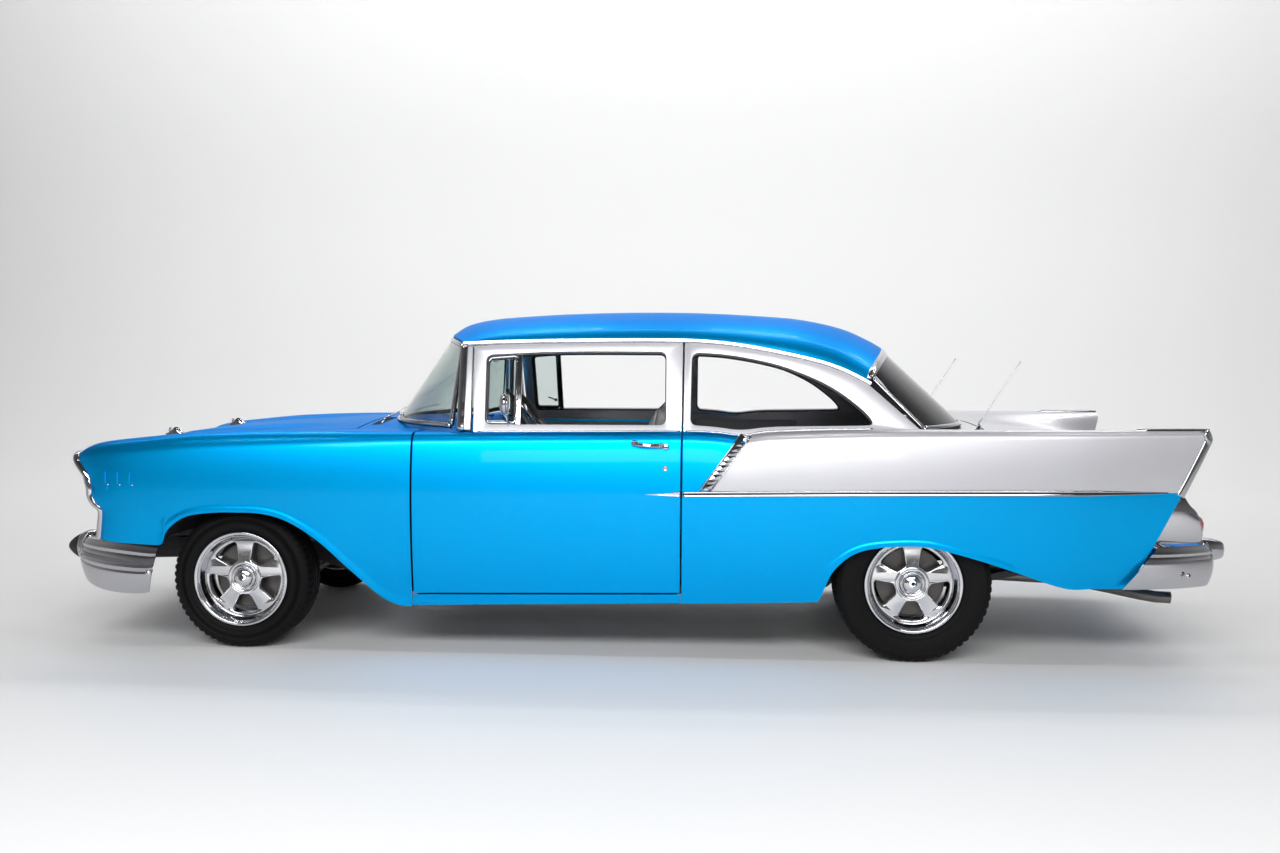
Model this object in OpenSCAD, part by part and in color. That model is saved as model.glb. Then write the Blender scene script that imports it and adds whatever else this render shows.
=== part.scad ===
// A 1950s two-door sedan, built from its real panels, glass, seats, frame, axles and wheels.
// The front of the car points along -X, its left side is at -Y, and it stands on the plane z = 0.

/* [Body] */
// Distance between the front and rear axles
wheelbase = 2921; // [2880:1:2960]
// Front axle, ahead of the middle of the car's length
front_axle_x = -1690; // [-1700:1:-1680]
// Half width of the body at the doors
body_half_w = 932; // [925:1:938]
// Height of the roof's crown above the road
roof_h = 1503; // [1490:1:1515]
// Gap between a moving panel and its neighbour
panel_gap = 8; // [7.5:0.5:9]
// Thickness of a pressed outer panel
skin_t = 6; // [4:0.5:8]

/* [Doors and glass] */
// Front shut line of the door below the belt
door_front_x = -915; // [-925:1:-905]
// Rear shut line of the door
door_rear_x = 243; // [235:1:250]
// How far the side windows lean inwards, in degrees
side_lean = 20.2; // [19:0.1:21]
// Thickness of the window frames and pillars
frame_t = 38; // [30:1:44]
// Thickness of all glass
glass_t = 6; // [5:0.5:8]

/* [Wheels] */
// Rolling radius of the front tyres
front_tyre_r = 308; // [304:1:312]
// Width of the front tyres
front_tyre_w = 205; // [195:1:210]
// Rolling radius of the rear tyres
rear_tyre_r = 334; // [330:1:338]
// Width of the rear tyres
rear_tyre_w = 245; // [235:1:250]
// Half of the front track
front_track = 737; // [730:1:740]
// Half of the rear track
rear_track = 742; // [738:1:748]
// Radius of the rims over their flanges
rim_r = 208; // [206:1:210]

/* [Hidden] */
$fn = 48;

blue = "#0a78c8";
silver = "#c9ccd4";
chrome = "#d8dadf";
dark = "#2b2c2f";
trim_grey = "#7c7e86";
glass = "#9fb3b8";

rear_axle_x = front_axle_x + wheelbase;

// ---- curves and patches ----

// Index of the stretch of a table [[x, value], ...] that holds x
function stretch(t, x, i = 0) = (i >= len(t) - 2 || x < t[i + 1][0]) ? i : stretch(t, x, i + 1);
function rise(t, a, b) = (t[b][1] - t[a][1]) / (t[b][0] - t[a][0]);
function knot_slope(t, i) = rise(t, max(i - 1, 0), min(i + 1, len(t) - 1));
// Smooth curve through the table's points, level past its ends
function curve(t, x) =
    let (i = stretch(t, x),
         h = t[i + 1][0] - t[i][0],
         u = max(0, min(1, (x - t[i][0]) / h)),
         m0 = knot_slope(t, i) * h,
         m1 = knot_slope(t, i + 1) * h)
    (2 * u ^ 3 - 3 * u ^ 2 + 1) * t[i][1] + (u ^ 3 - 2 * u ^ 2 + u) * m0
    + (3 * u ^ 2 - 2 * u ^ 3) * t[i + 1][1] + (u ^ 3 - u ^ 2) * m1;
function mix(a, b, u) = a + (b - a) * u;
function smooth(u) = let (c = max(0, min(1, u))) c * c * (3 - 2 * c);
function steps(n) = [for (i = [0:n]) i / n];
function unit(v) = v / max(norm(v), 1e-9);
// Unit normal of a surface s(u, v), by small differences inside its square
function normal(s, u, v) =
    let (e = 0.002,
         u0 = max(0, u - e), u1 = min(1, u + e), v0 = max(0, v - e), v1 = min(1, v + e))
    unit(cross(s(u1, v) - s(u0, v), s(u, v1) - s(u, v0)));

// Closed solid between two surfaces over the same grid; turned = true where it comes out inside out
module between(outer, inner, us, vs, turned = false) {
    nv = len(vs);
    n = len(us) * nv;
    points = concat([for (u = us) for (v = vs) outer(u, v)], [for (u = us) for (v = vs) inner(u, v)]);
    at = function (i, j) i * nv + j;
    iu = len(us) - 1;
    iv = nv - 1;
    quads = [
        for (i = [0:iu - 1]) for (j = [0:iv - 1]) [at(i, j), at(i, j + 1), at(i + 1, j + 1), at(i + 1, j)],
        for (i = [0:iu - 1]) for (j = [0:iv - 1])
            [n + at(i, j), n + at(i + 1, j), n + at(i + 1, j + 1), n + at(i, j + 1)],
        for (i = [0:iu - 1]) [at(i, 0), at(i + 1, 0), n + at(i + 1, 0), n + at(i, 0)],
        for (i = [0:iu - 1]) [at(i + 1, iv), at(i, iv), n + at(i, iv), n + at(i + 1, iv)],
        for (j = [0:iv - 1]) [at(0, j + 1), at(0, j), n + at(0, j), n + at(0, j + 1)],
        for (j = [0:iv - 1]) [at(iu, j), at(iu, j + 1), n + at(iu, j + 1), n + at(iu, j)]
    ];
    faces = [
        for (q = quads) each turned ? [[q[0], q[2], q[1]], [q[0], q[3], q[2]]]
                                    : [[q[0], q[1], q[2]], [q[0], q[2], q[3]]]
    ];
    polyhedron(points, faces);
}

// Panel of even thickness t, inwards from the surface s
module panel(s, us, vs, t, turned = false) {
    side = turned ? -1 : 1;
    between(s, function (u, v) s(u, v) - side * t * normal(s, u, v), us, vs, turned);
}

// A right-hand piece and its mirror image
module pair() {
    children();
    mirror([0, 1, 0]) children();
}
module on_side(side) {
    if (side > 0) children(); else mirror([0, 1, 0]) children();
}

// ---- lines of the lower body ----

// Half width at the widest height
width_line = [[-2445, 846], [-2410, 862], [-2350, 878], [-2250, 894], [-2050, 906], [-1690, 916],
              [-900, 925], [-300, body_half_w], [800, body_half_w + 3], [1300, body_half_w + 1],
              [1900, 920], [2440, 896]];
// Top of the fenders, belt and fins
crest_line = [[-2445, 848], [-2415, 872], [-2340, 898], [-2120, 926], [-1890, 948], [-1500, 962], [-860, 964],
              [-110, 973], [260, 978], [400, 973], [490, 962], [580, 978], [700, 985], [950, 994],
              [1400, 999], [2100, 1003], [2450, 1006]];
// Height at the seam between a fender and the hood, cabin or trunk lid
seam_line = [[-2440, 790], [-2400, 824], [-2300, 862], [-2120, 898], [-1890, 924], [-1500, 948], [-1230, 962],
             [-900, 966], [1200, 984], [1590, 968], [2000, 925], [2300, 882], [2430, 858]];
// Height on the middle line of the hood, cowl and trunk lid
middle_line = [[-2440, 815], [-2400, 850], [-2300, 884], [-2120, 920], [-1890, 946], [-1500, 972], [-1230, 988],
               [-1100, 992], [-900, 996], [1200, 996], [1530, 990], [1700, 980], [2000, 950], [2300, 902],
               [2430, 872]];
// How far the shoulder's round reaches inwards
shoulder_line = [[-2440, 90], [-2100, 110], [-1500, 100], [-900, 62], [800, 56], [1400, 48], [2440, 34]];
wide_z = 700;
low_tuck = 56;
high_tuck = 24;
seam_y = 642;

function half_width(x) = curve(width_line, x);
function crest_z(x) = curve(crest_line, x);
function seam_z(x) = curve(seam_line, x);
function shoulder_w(x) = curve(shoulder_line, x);
function shoulder_h(x) = shoulder_w(x) * 0.9;
// The side above the widest height leans inwards, and meets the shoulder at this angle of its ellipse
function lean_angle(x) =
    let (h = crest_z(x) - shoulder_h(x) - wide_z)
    atan(2 * high_tuck / h * shoulder_h(x) / shoulder_w(x));
function shoulder_z(x) = crest_z(x) - shoulder_h(x) * (1 - sin(lean_angle(x)));
function side_y(x, z) =
    let (w = half_width(x))
    z < wide_z ? w - low_tuck * ((wide_z - z) / 490) ^ 2
               : w - high_tuck * ((z - wide_z) / (shoulder_z(x) - wide_z)) ^ 2;
function crest_y(x) = side_y(x, shoulder_z(x)) - shoulder_w(x) * cos(lean_angle(x));
// Height of the body's top at a distance y from the middle
function top_z(x, y) =
    let (a = abs(y), sy = seam_y, cy = crest_y(x))
    a <= sy ? seam_z(x) + (curve(middle_line, x) - seam_z(x)) * (1 - (a / sy) ^ 2)
            : mix(seam_z(x), crest_z(x), smooth((a - sy) / (cy - sy)));
// Point of the section at x: v 0 to 0.6 up the side from low, to 0.8 round the shoulder, to 1 in to y_in
function section(x, low, y_in, v) =
    v < 0.6 ? let (z = mix(low, shoulder_z(x), v / 0.6)) [side_y(x, z), z]
    : v < 0.8 ? let (a = mix(lean_angle(x), 90, (v - 0.6) / 0.2))
        [crest_y(x) + shoulder_w(x) * cos(a), crest_z(x) - shoulder_h(x) * (1 - sin(a))]
    : let (y = mix(crest_y(x), y_in, (v - 0.8) / 0.2)) [y, top_z(x, y)];

section_vs = [0, 0.08, 0.18, 0.3, 0.42, 0.52, 0.6, 0.65, 0.7, 0.75, 0.8, 0.84, 0.88, 0.92, 0.96, 1];

// ---- side windows' plane ----

belt_y = 843;
belt_z = 962;
function lean_y(z) = belt_y - (z - belt_z) * tan(side_lean);
rail_line = [[-730, 1343], [-612, 1350], [-300, 1359], [225, 1364], [400, 1355], [573, 1331], [833, 1276],
             [950, 1234], [1035, 1190]];
function rail_z(x) = curve(rail_line, x);

// Flat piece in the right-hand windows' plane, from an outline of [x, z] points, t thick inwards
module side_plate(outline, t, sink = 0) {
    translate([0, belt_y, belt_z])
        rotate([90 + side_lean, 0, 0])
            translate([0, 0, sink])
                linear_extrude(t) polygon([for (p = outline) [p[0], (p[1] - belt_z) / cos(side_lean)]]);
}
// Outline with each corner cut back by r along its two edges, and rounded by n points
function rounded(p, r, n = 4) = [
    for (i = [0:len(p) - 1])
        let (a = p[(i + len(p) - 1) % len(p)], b = p[i], c = p[(i + 1) % len(p)],
             s = b + unit(a - b) * min(r, norm(a - b) / 2), e = b + unit(c - b) * min(r, norm(c - b) / 2))
        for (k = [0:n]) let (u = k / n) s * (1 - u) ^ 2 + b * 2 * u * (1 - u) + e * u ^ 2
];

// ---- front fenders and hood ----

// Front edge of the fender, as x against height
nose_line = [[478, -2321], [546, -2311], [594, -2306], [613, -2312], [640, -2340], [665, -2354], [703, -2357],
             [752, -2370], [796, -2406], [830, -2434], [848, -2442]];
// Lower edge of the fender: chin, wheel arch, and the slope down to the door
fender_low = [[-2445, 478], [-2055, 461], [-2014, 468], [-1998, 512], [-1966, 550], [-1900, 590], [-1800, 607],
              [-1690, 611], [-1560, 606], [-1450, 573], [-1320, 490], [-1190, 370], [-1050, 247], [-975, 212],
              [-910, 209]];
fender_xs = [-2445, -2425, -2400, -2360, -2300, -2200, -2100, -2055, -2035, -2014, -2005, -1998, -1980, -1966,
             -1935, -1900, -1850, -1800, -1745, -1690, -1620, -1560, -1505, -1450, -1390, -1320, -1255, -1190,
             -1120, -1050, -1010, -975, -940];
fender_end = door_front_x - panel_gap / 2;
function nose_shift(x, z) =
    let (f = max(0, 1 - (x + 2445) / 330)) (curve(nose_line, z) + 2445) * f ^ 2;
function fender_point(x, v) =
    let (p = section(x, curve(fender_low, x), seam_y + 4, v))
    [x + nose_shift(x, p[1]), p[0], p[1]];

module fender(side) {
    color(blue) on_side(side)
        panel(function (u, v) fender_point(mix(-2445, fender_end, u), v),
              [for (x = concat(fender_xs, [fender_end])) (x + 2445) / (fender_end + 2445)],
              section_vs, skin_t, true);
}

hood_front = -2438;
hood_rear = -1228;
hood_pivot = [-1110, 946];
hood_arm_y = 560;
arm_t = 12;
pin_r = 8;
pin_fit = 0.05;
module hood() {
    edge = seam_y - 4;
    color(blue) {
        panel(function (u, v)
                let (x = mix(hood_front, hood_rear, u), y = mix(-edge, edge, v), a = abs(y))
                [x, y, top_z(x, y) + 12 * smooth((x + 2200) / 150) * smooth(1 - abs(a - 405) / 75)
                    * smooth((-1300 - x) / 300)],
              concat([0, 0.015], [for (k = [1:14]) k / 14]),
              [0, 0.06, 0.125, 0.155, 0.185, 0.215, 0.25, 0.34, 0.42, 0.5, 0.58, 0.66, 0.75, 0.785, 0.815, 0.845,
               0.875, 0.94, 1], skin_t);
        // Curved hinge arms that reach back under the cowl
        for (s = [-1, 1])
            hinge_arm(hood_pivot, s * hood_arm_y,
                      [[-14, 4], [14, 4], [-52, -104], [-112, -106], [-128, -60], [-142, 2], [-330, -14], [-330, -4],
                       [-150, 10], [-118, 6], [-106, -62], [-100, -84], [-64, -84]]);
    }
}
// Flat arm in the plane y, on a pivot [x, z], with an eye for its pin
module hinge_arm(pivot, y, outline) {
    translate([pivot[0], y + arm_t / 2, pivot[1]]) rotate([90, 0, 0])
        difference() {
            union() {
                cylinder(h = arm_t, r = 13);
                linear_extrude(arm_t) polygon(outline);
            }
            translate([0, 0, -1]) cylinder(h = arm_t + 2, r = pin_r + pin_fit);
        }
}
// Pin and bracket that carry a hinge arm from its outer side
module hinge_bracket(pivot, y, drop) {
    translate([pivot[0], y, pivot[1]]) {
        rotate([90, 0, 0]) cylinder(h = arm_t + 12, r = pin_r, center = true);
        translate([-20, arm_t / 2 + 3, -drop]) cube([40, 8, drop + 16]);
    }
}

door_inner_y = 812;
cowl_wide_x = fender_end + panel_gap;
cowl_half_w = door_inner_y - 20;
module cowl() {
    // Top panel from the hood back under the windshield, widening behind the fenders
    top_front = hood_rear + panel_gap;
    color(blue) {
        panel(function (u, v)
                let (x = mix(top_front, -735, u), w = x < cowl_wide_x - 1 ? seam_y - 4 : cowl_half_w,
                     y = mix(-w, w, v), behind = smooth((x + 1060) / 160) * smooth(1.6 - abs(y) / 500))
                [x, y, top_z(x, y) - 1 - 60 * behind],
              [for (x = [top_front, -1180, -1130, -1060, -990, cowl_wide_x - 2, cowl_wide_x, -860, -800, -735])
                  (x - top_front) / (-735 - top_front)],
              [0, 0.05, 0.1, 0.15, 0.2, 0.28, 0.36, 0.5, 0.64, 0.72, 0.8, 0.85, 0.9, 0.95, 1], skin_t);
        // Hinge posts beside the door's front edge, the firewall between them, and the hood's hinge brackets
        for (s = [-1, 1])
            translate([-975, s > 0 ? 790 : -868, 262]) cube([46, 78, 640]);
        translate([-1010, -790, 318]) cube([20, 1580, 540]);
        pair() hinge_bracket(hood_pivot, hood_arm_y, 90);
        pair() translate([hood_pivot[0], hood_arm_y + arm_t / 2 + 3, hood_pivot[1] - 90]) cube([110, 8, 20]);
    }
}

// ---- quarter panels, trunk and tail ----

// Lower edge of the rear quarter: sill, wheel arch, and the bottom behind it
quarter_low = [[240, 243], [700, 256], [800, 260], [829, 268], [852, 325], [875, 380], [905, 420], [943, 455],
               [981, 478], [1030, 494], [1107, 505], [1205, 510], [1281, 506], [1357, 490], [1508, 449],
               [1655, 401], [1805, 350], [1880, 334], [2110, 337]];
quarter_xs = [300, 350, 400, 445, 490, 540, 600, 700, 770, 800, 815, 829, 840, 852, 875, 905, 943, 981, 1030, 1107,
              1205, 1281, 1357, 1430, 1508, 1580, 1655, 1730, 1805, 1840, 1880, 1960, 2040, 2110, 2180, 2250,
              2320, 2380, 2420];
// Rear edge of the quarter, as x against height
tail_line = [[337, 2112], [382, 2140], [517, 2211], [733, 2317], [940, 2420], [976, 2436], [995, 2437], [1006, 2425]];
quarter_front = door_rear_x + panel_gap / 2 - 0.5;
quarter_end = 2440;
function tail_shift(x, z) =
    let (f = max(0, (x - 1880) / (quarter_end - 1880))) (curve(tail_line, z) - quarter_end) * f;
function quarter_in(x) = x < 1560 ? mix(790, seam_y + 4, smooth((x - 1240) / 320)) : seam_y + 4;
function quarter_point(x, v) =
    let (p = section(x, curve(quarter_low, x), quarter_in(x), v))
    [x + tail_shift(x, p[1]), p[0], p[1]];

// Frame of the rear side window, from the door's edge back to the rear glass, in the windows' plane
rail_gap = 5;
quarter_frame = concat(
    [[quarter_front, 930], [1290, 930], [1262, 985]],
    [for (x = [1035, 1000, 950, 900, 833, 760, 690, 630, 573, 500, 400, 320, quarter_front]) [x, rail_z(x) - rail_gap]]);
quarter_opening = rounded([[276, 1006], [279, 1314], [400, 1310], [530, 1291], [659, 1263], [800, 1211], [900, 1160],
                           [990, 1093], [1040, 1046], [1056, 1012], [900, 1008], [600, 1002], [490, 984], [400, 998]],
                          34, 3);

module quarter(side) {
    color(silver) on_side(side) {
        panel(function (u, v) quarter_point(mix(quarter_front, quarter_end, u), v),
              [for (x = concat([quarter_front], quarter_xs, [quarter_end]))
                  (x - quarter_front) / (quarter_end - quarter_front)],
              section_vs, skin_t, true);
        difference() {
            side_plate(quarter_frame, frame_t);
            side_plate(quarter_opening, frame_t + 20, -10);
        }
        // Inner wall beside the rear seat
        translate([262, 800, 300]) cube([560, 14, 640]);
    }
}

trunk_front = 1594;
trunk_rear = 2372;
trunk_pivot = [1494, 940];
trunk_arm_y = 600;
trunk_edge = seam_y - 4;
// Skin of the trunk lid: along the deck, then round and down the rear face
function trunk_path(u, y) =
    u < 0.78 ? let (x = mix(trunk_front, trunk_rear, u / 0.78)) [x, top_z(x, y)]
    : let (a = (u - 0.78) / 0.22, z0 = top_z(trunk_rear, y))
        [trunk_rear + 26 * sin(90 * min(1, a * 4)) - 88 * max(0, a - 0.2) - tail_bow(y), z0 - 250 * a - 10 * smooth(a * 4)];
// How far the car's tail curves forward from its middle towards its sides
function tail_bow(y) = 75 * (y / 836) ^ 2;
module trunk_lid() {
    color(silver) {
        panel(function (u, v) let (y = mix(-trunk_edge, trunk_edge, v), p = trunk_path(u, y))
                [p[0] - (u < 0.78 ? tail_bow(y) * (u / 0.78) ^ 3 : 0), y, p[1]],
              concat([for (k = [0:9]) k * 0.78 / 9], [0.8, 0.82, 0.85, 0.9, 0.95, 1]), steps(14), skin_t);
        for (s = [-1, 1])
            hinge_arm(trunk_pivot, s * trunk_arm_y,
                      [[14, 4], [-14, 4], [44, -96], [96, -104], [112, -50], [122, 0], [330, -34], [330, -24],
                       [125, 12], [104, 14], [92, -48], [84, -82], [54, -78]]);
    }
}

module rear_deck() {
    // Panel between the rear glass and the trunk lid, the parcel shelf inside, and the lid's hinge brackets
    color(silver)
        panel(function (u, v)
                let (y = mix(-1, 1, v), a = abs(y), x = mix(1500 - 290 * a ^ 3, trunk_front - panel_gap, u),
                     w = quarter_in(x) - 4)
                [x, y * w, top_z(x, y * w) - 2],
              steps(4), steps(16), skin_t);
    color(trim_grey) translate([1010, -640, 905]) cube([440, 1280, 10]);
    color(dark) {
        pair() hinge_bracket(trunk_pivot, trunk_arm_y, 25);
        pair() translate([1420, trunk_arm_y + arm_t / 2 + 3, 915]) cube([90, 8, 18]);
    }
}

module tail_panel() {
    // Lower rear panel under the trunk lid
    color(blue)
        panel(function (u, v) let (y = mix(-834, 834, v), z = mix(352, 594, u)) [2318 - tail_bow(y) - (594 - z) * 0.4, y, z],
              steps(3), steps(10), skin_t, true);
}

module tail_lamps() {
    // Bezel that closes the end of each fin, and the lamp pod at its foot
    color(chrome) pair() {
        panel(function (u, v)
                let (y = mix(656, 868, v), top = top_z(2400, y) - 22, z = mix(600, top, u))
                [curve(tail_line, z) - 8, min(y, side_y(2380, min(z, 940)) - 14), z],
              steps(6), steps(6), 5, true);
        hull() {
            translate([2296, 778, 566]) cube([20, 100, 150]);
            translate([2392, 800, 590]) cube([24, 62, 96]);
        }
        translate([2404, 831, 640]) rotate([0, 90, 0]) cylinder(h = 34, r1 = 44, r2 = 30);
    }
}

// ---- roof and glass ----

roof_line = [[-868, 1392], [-820, 1427], [-772, 1446], [-673, 1466], [-477, 1483], [-281, 1494], [0, roof_h],
             [302, roof_h - 1], [591, roof_h - 14], [783, 1472], [975, 1430], [1100, 1376], [1165, 1338]];
roof_front = -868;
roof_rear = 1165;
roof_side_front = -722;
roof_side_rear = 1035;
function roof_point(u, w) =
    let (a = abs(w), xc = mix(roof_front, roof_rear, u), xs = mix(roof_side_front, roof_side_rear, u),
         zs = rail_z(xs), zc = curve(roof_line, xc))
    [mix(xc, xs, a ^ 2.4), w * (lean_y(zs) + 2), zs + (zc - zs) * (1 - a ^ 2.5) ^ 0.62];
roof_ws = [-1, -0.995, -0.98, -0.95, -0.9, -0.84, -0.76, -0.64, -0.5, -0.34, -0.17, 0,
           0.17, 0.34, 0.5, 0.64, 0.76, 0.84, 0.9, 0.95, 0.98, 0.995, 1];
roof_us = [0, 0.02, 0.045, 0.08, 0.13, 0.2, 0.28, 0.36, 0.45, 0.54, 0.62, 0.7, 0.78, 0.84, 0.9, 0.95, 1];
roof_t = 20;
module roof() {
    color(blue)
        between(function (u, v) roof_point(u, v),
                function (u, v) let (p = roof_point(u, v)) [p[0], p[1] * 0.972, p[2] - roof_t * (1 - 0.5 * abs(v) ^ 6)],
                roof_us, roof_ws);
}

// Glass that runs straight from its edge on the roof to its foot on the body
function windshield_foot(w) = [-1150 + 432 * abs(w) ^ 2.6, w * 836, 984 - 4 * abs(w)];
function rear_foot(w) = [1530 - 292 * abs(w) ^ 3, w * 832, 992];
function roof_edge(w, end) = let (p = roof_point(end, w)) [p[0], p[1] * 0.985, p[2] - 7];
glass_ws = [for (k = [-10:10]) k / 10];
module bent_glass(end, foot, turned) {
    s = function (u, v) mix(foot(2 * v - 1), roof_edge(2 * v - 1, end), u);
    color(glass) panel(s, [0.03, 0.25, 0.5, 0.75, 0.97], [for (w = glass_ws) (w * 0.955 + 1) / 2], glass_t, turned);
}
module windshield() { bent_glass(0, function (w) windshield_foot(w), true); }
module rear_window() { bent_glass(1, function (w) rear_foot(w), false); }

module windshield_frame() {
    // The two upright pillars at the ends of the glass
    color(silver) pair()
        side_plate([[-722, 976], [-672, 976], [-684, 1336], [-726, 1334]], frame_t);
}

// ---- doors ----

door_x0 = door_front_x + panel_gap / 2;
door_x1 = door_rear_x - panel_gap / 2;
frame_front = -666;
// The frame's inner layer stops short of the shut lines, so that it swings past the quarter panel
frame_rebate = 26;
function door_low(x) = mix(268, 290, (x - door_x0) / (door_x1 - door_x0));
door_opening = rounded([[-611, 1000], [-621, 1298], [-300, 1316], [166, 1317], [171, 1004]], 30, 3);
module door_frame(t, sink, back) {
    top = [for (x = [-612, -450, -300, -100, 100, 205]) [x, rail_z(x) - panel_gap]];
    difference() {
        side_plate(concat([[frame_front + 8, 940], [frame_front - 10, 1336 - panel_gap]], top,
                          [[door_x1 - back, rail_z(door_x1) - panel_gap], [door_x1 - back, 940]]), t, sink);
        side_plate(door_opening, t + 20, sink - 10);
    }
}
module door(side) {
    color(silver) on_side(side) {
        between(function (u, v)
                    let (x = mix(door_x0, door_x1, u), p = section(x, door_low(x), door_inner_y, v)) [x, p[0], p[1]],
                function (u, v)
                    let (x = mix(door_x0 + 2, door_x1 - 30, u), z = mix(door_low(x), 944, v)) [x, door_inner_y, z],
                steps(12), section_vs, true);
        door_frame(12, 0, 0);
        door_frame(frame_t - 12, 12, frame_rebate);
    }
}

module vent_window(side) {
    // Swivelling corner glass with the upright division bar behind it
    color(glass) on_side(side) {
        side_plate(rounded([[-604, 1010], [-613, 1288], [-488, 1298], [-484, 1010]], 20, 2), glass_t, 16);
        side_plate([[-480, 1005], [-486, 1303], [-462, 1304], [-456, 1005]], 20, 10);
    }
}

// ---- lamps, grille and bumpers ----

module grille() {
    color(chrome) {
        // Mesh behind the opening, its frame, and the wide bar with its two ends
        translate([-2330, -600, 480]) cube([12, 1200, 330]);
        translate([-2372, -650, 585]) cube([60, 1300, 46]);
        pair() translate([-2372, 600, 608]) rotate([0, 90, 0]) cylinder(h = 55, r = 62);
        translate([-2400, -640, 776]) cube([80, 1280, 26]);
    }
}

lamp_lean = 23;
module headlamps() {
    color(chrome) pair() translate([-2385, 744, 743]) rotate([0, -90 - lamp_lean, 0]) {
        cylinder(h = 50, r = 90);
        translate([0, 0, 50]) cylinder(h = 16, r1 = 86, r2 = 74);
    }
}

// Plan of the front bumper: x against distance along its half, from the middle to its end
front_bumper_x = [[0, -2462], [450, -2470], [680, -2456], [800, -2414], [860, -2350], [930, -2225], [1080, -2030]];
front_bumper_y = [[0, 0], [450, 450], [680, 676], [800, 790], [860, 838], [930, 888], [1080, 915]];
front_bumper_top = [[0, 455], [500, 470], [700, 476], [900, 470], [1080, 456]];
front_bumper_low = [[0, 330], [420, 330], [600, 262], [760, 228], [960, 226], [1080, 240]];
function front_bumper_point(s, v) =
    let (d = abs(s), z = mix(curve(front_bumper_low, d), curve(front_bumper_top, d), v), b = 34 * sin(180 * v),
         turn = smooth((d - 600) / 420))
    [curve(front_bumper_x, d) - b * (1 - turn), sign(s) * (curve(front_bumper_y, d) - 12 + 16 * sin(180 * v) * turn), z];
module front_bumper() {
    color(chrome) {
        panel(function (u, v) front_bumper_point(mix(-1080, 1080, u), v), steps(40), steps(8), 7, true);
        pair() translate([-2498, 380, 352]) cube([166, 56, 60]);
        pair() translate([-2440, 636, 414]) rotate([0, -90, 0])
            rotate_extrude() polygon([[0, -20], [74, -20], [76, 10], [66, 48], [46, 78], [30, 92], [14, 112], [0, 120]]);
    }
}

rear_bumper_x = [[0, 2440], [500, 2452], [700, 2480], [830, 2470], [900, 2405], [980, 2310], [1130, 2170]];
rear_bumper_y = [[0, 0], [500, 500], [700, 690], [830, 800], [900, 850], [980, 893], [1130, 914]];
rear_bumper_top = [[0, 470], [450, 480], [700, 515], [1130, 508]];
rear_bumper_low = [[0, 350], [450, 350], [700, 322], [1130, 326]];
function rear_bumper_point(s, v) =
    let (d = abs(s), z = mix(curve(rear_bumper_low, d), curve(rear_bumper_top, d), v), b = 32 * sin(180 * v),
         turn = smooth((d - 680) / 400))
    [curve(rear_bumper_x, d) + b * (1 - turn), sign(s) * (curve(rear_bumper_y, d) - 12 + 14 * sin(180 * v) * turn), z];
module rear_bumper() {
    color(chrome) {
        // Blade in one piece from wheel arch to wheel arch
        resize([0, 0, 0])
            panel(function (u, v) rear_bumper_point(mix(-1130, 1130, u), v), steps(39), steps(7), 7);
        // Guard at the foot of each fin
        pair() hull() {
            translate([2470, 640, 440]) cube([20, 110, 96]);
            translate([2540, 650, 450]) cube([20, 90, 72]);
        }
        // Brackets from under the frame
        pair() translate([2130, 380, 304]) cube([330, 56, 34]);
        pair() translate([2420, 380, 304]) cube([36, 56, 100]);
        plate_carrier();
    }
}
plate_z = 420;
module plate_carrier() {
    difference() {
        translate([2478, -152, plate_z - 76]) cube([9, 304, 152]);
        for (y = [-89, 89]) for (z = [-60.5, 60.5])
            translate([2460, y, plate_z + z]) rotate([0, 90, 0]) cylinder(h = 30, r = 3.5);
    }
}

// ---- wheels, axles and steering ----

rim_w = [101.5, 114];
stub_r = 30;
// Half section of a tyre as [radius, across], outer half only
function tyre_half(r, w, f) = [
    [192, 0], [192, f - 14], [211, f - 13], [214, w / 2 - 10], [230, w / 2 - 4], [(r + 230) / 2 - 8, w / 2],
    [r - 30, w / 2 - 4], [r - 14, w / 2 - 12], [r - 5, w / 2 - 24], [r, w / 2 - 44], [r, 0]
];
module tyre(x, y, r, w, f) {
    half = tyre_half(r, w, f);
    n = len(half);
    color(dark) translate([x, y, r]) rotate([90, 0, 0])
        rotate_extrude($fn = 96)
            polygon(concat([for (p = half) p], [for (i = [n - 2:-1:1]) [half[i][0], -half[i][1]]]));
}
// Rim with a deep outer lip and five spokes; out = 1 where its face looks along +Y
module rim(x, y, r, f, out) {
    face = f - 58;
    color(chrome) translate([x, y, r]) rotate([out > 0 ? -90 : 90, 0, 0]) {
        rotate_extrude($fn = 96)
            polygon([[rim_r, f], [rim_r, f - 9], [191, f - 12], [190, f - 60], [178, f - 72], [178, -f + 60],
                     [190, -f + 40], [191, -f + 12], [rim_r, -f + 9], [rim_r, -f], [198, -f], [183, -f + 14],
                     [182, -f + 40], [168, -f + 62], [168, f - 66], [182, f - 50], [184, f - 14], [198, f]]);
        difference() {
            translate([0, 0, face - 30]) cylinder(h = 30, r = 172);
            for (k = [0:4]) rotate([0, 0, 72 * k + 36 + 90])
                translate([0, 0, face - 40]) linear_extrude(60)
                    polygon([[78, -24], [152, -62], [160, -34], [163, 0], [160, 34], [152, 62], [78, 24]]);
            translate([0, 0, face - 60]) cylinder(h = 46, r = stub_r + pin_fit);
        }
        difference() {
            translate([0, 0, face - 70]) cylinder(h = 72, r = 72);
            translate([0, 0, face - 80]) cylinder(h = 66, r = stub_r + pin_fit);
        }
        translate([0, 0, face]) cylinder(h = 34, r1 = 50, r2 = 38);
        translate([0, 0, face - 70]) difference() {
            cylinder(h = 20, r = 140);
            translate([0, 0, -1]) cylinder(h = 22, r = 71);
        }
    }
}

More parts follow.
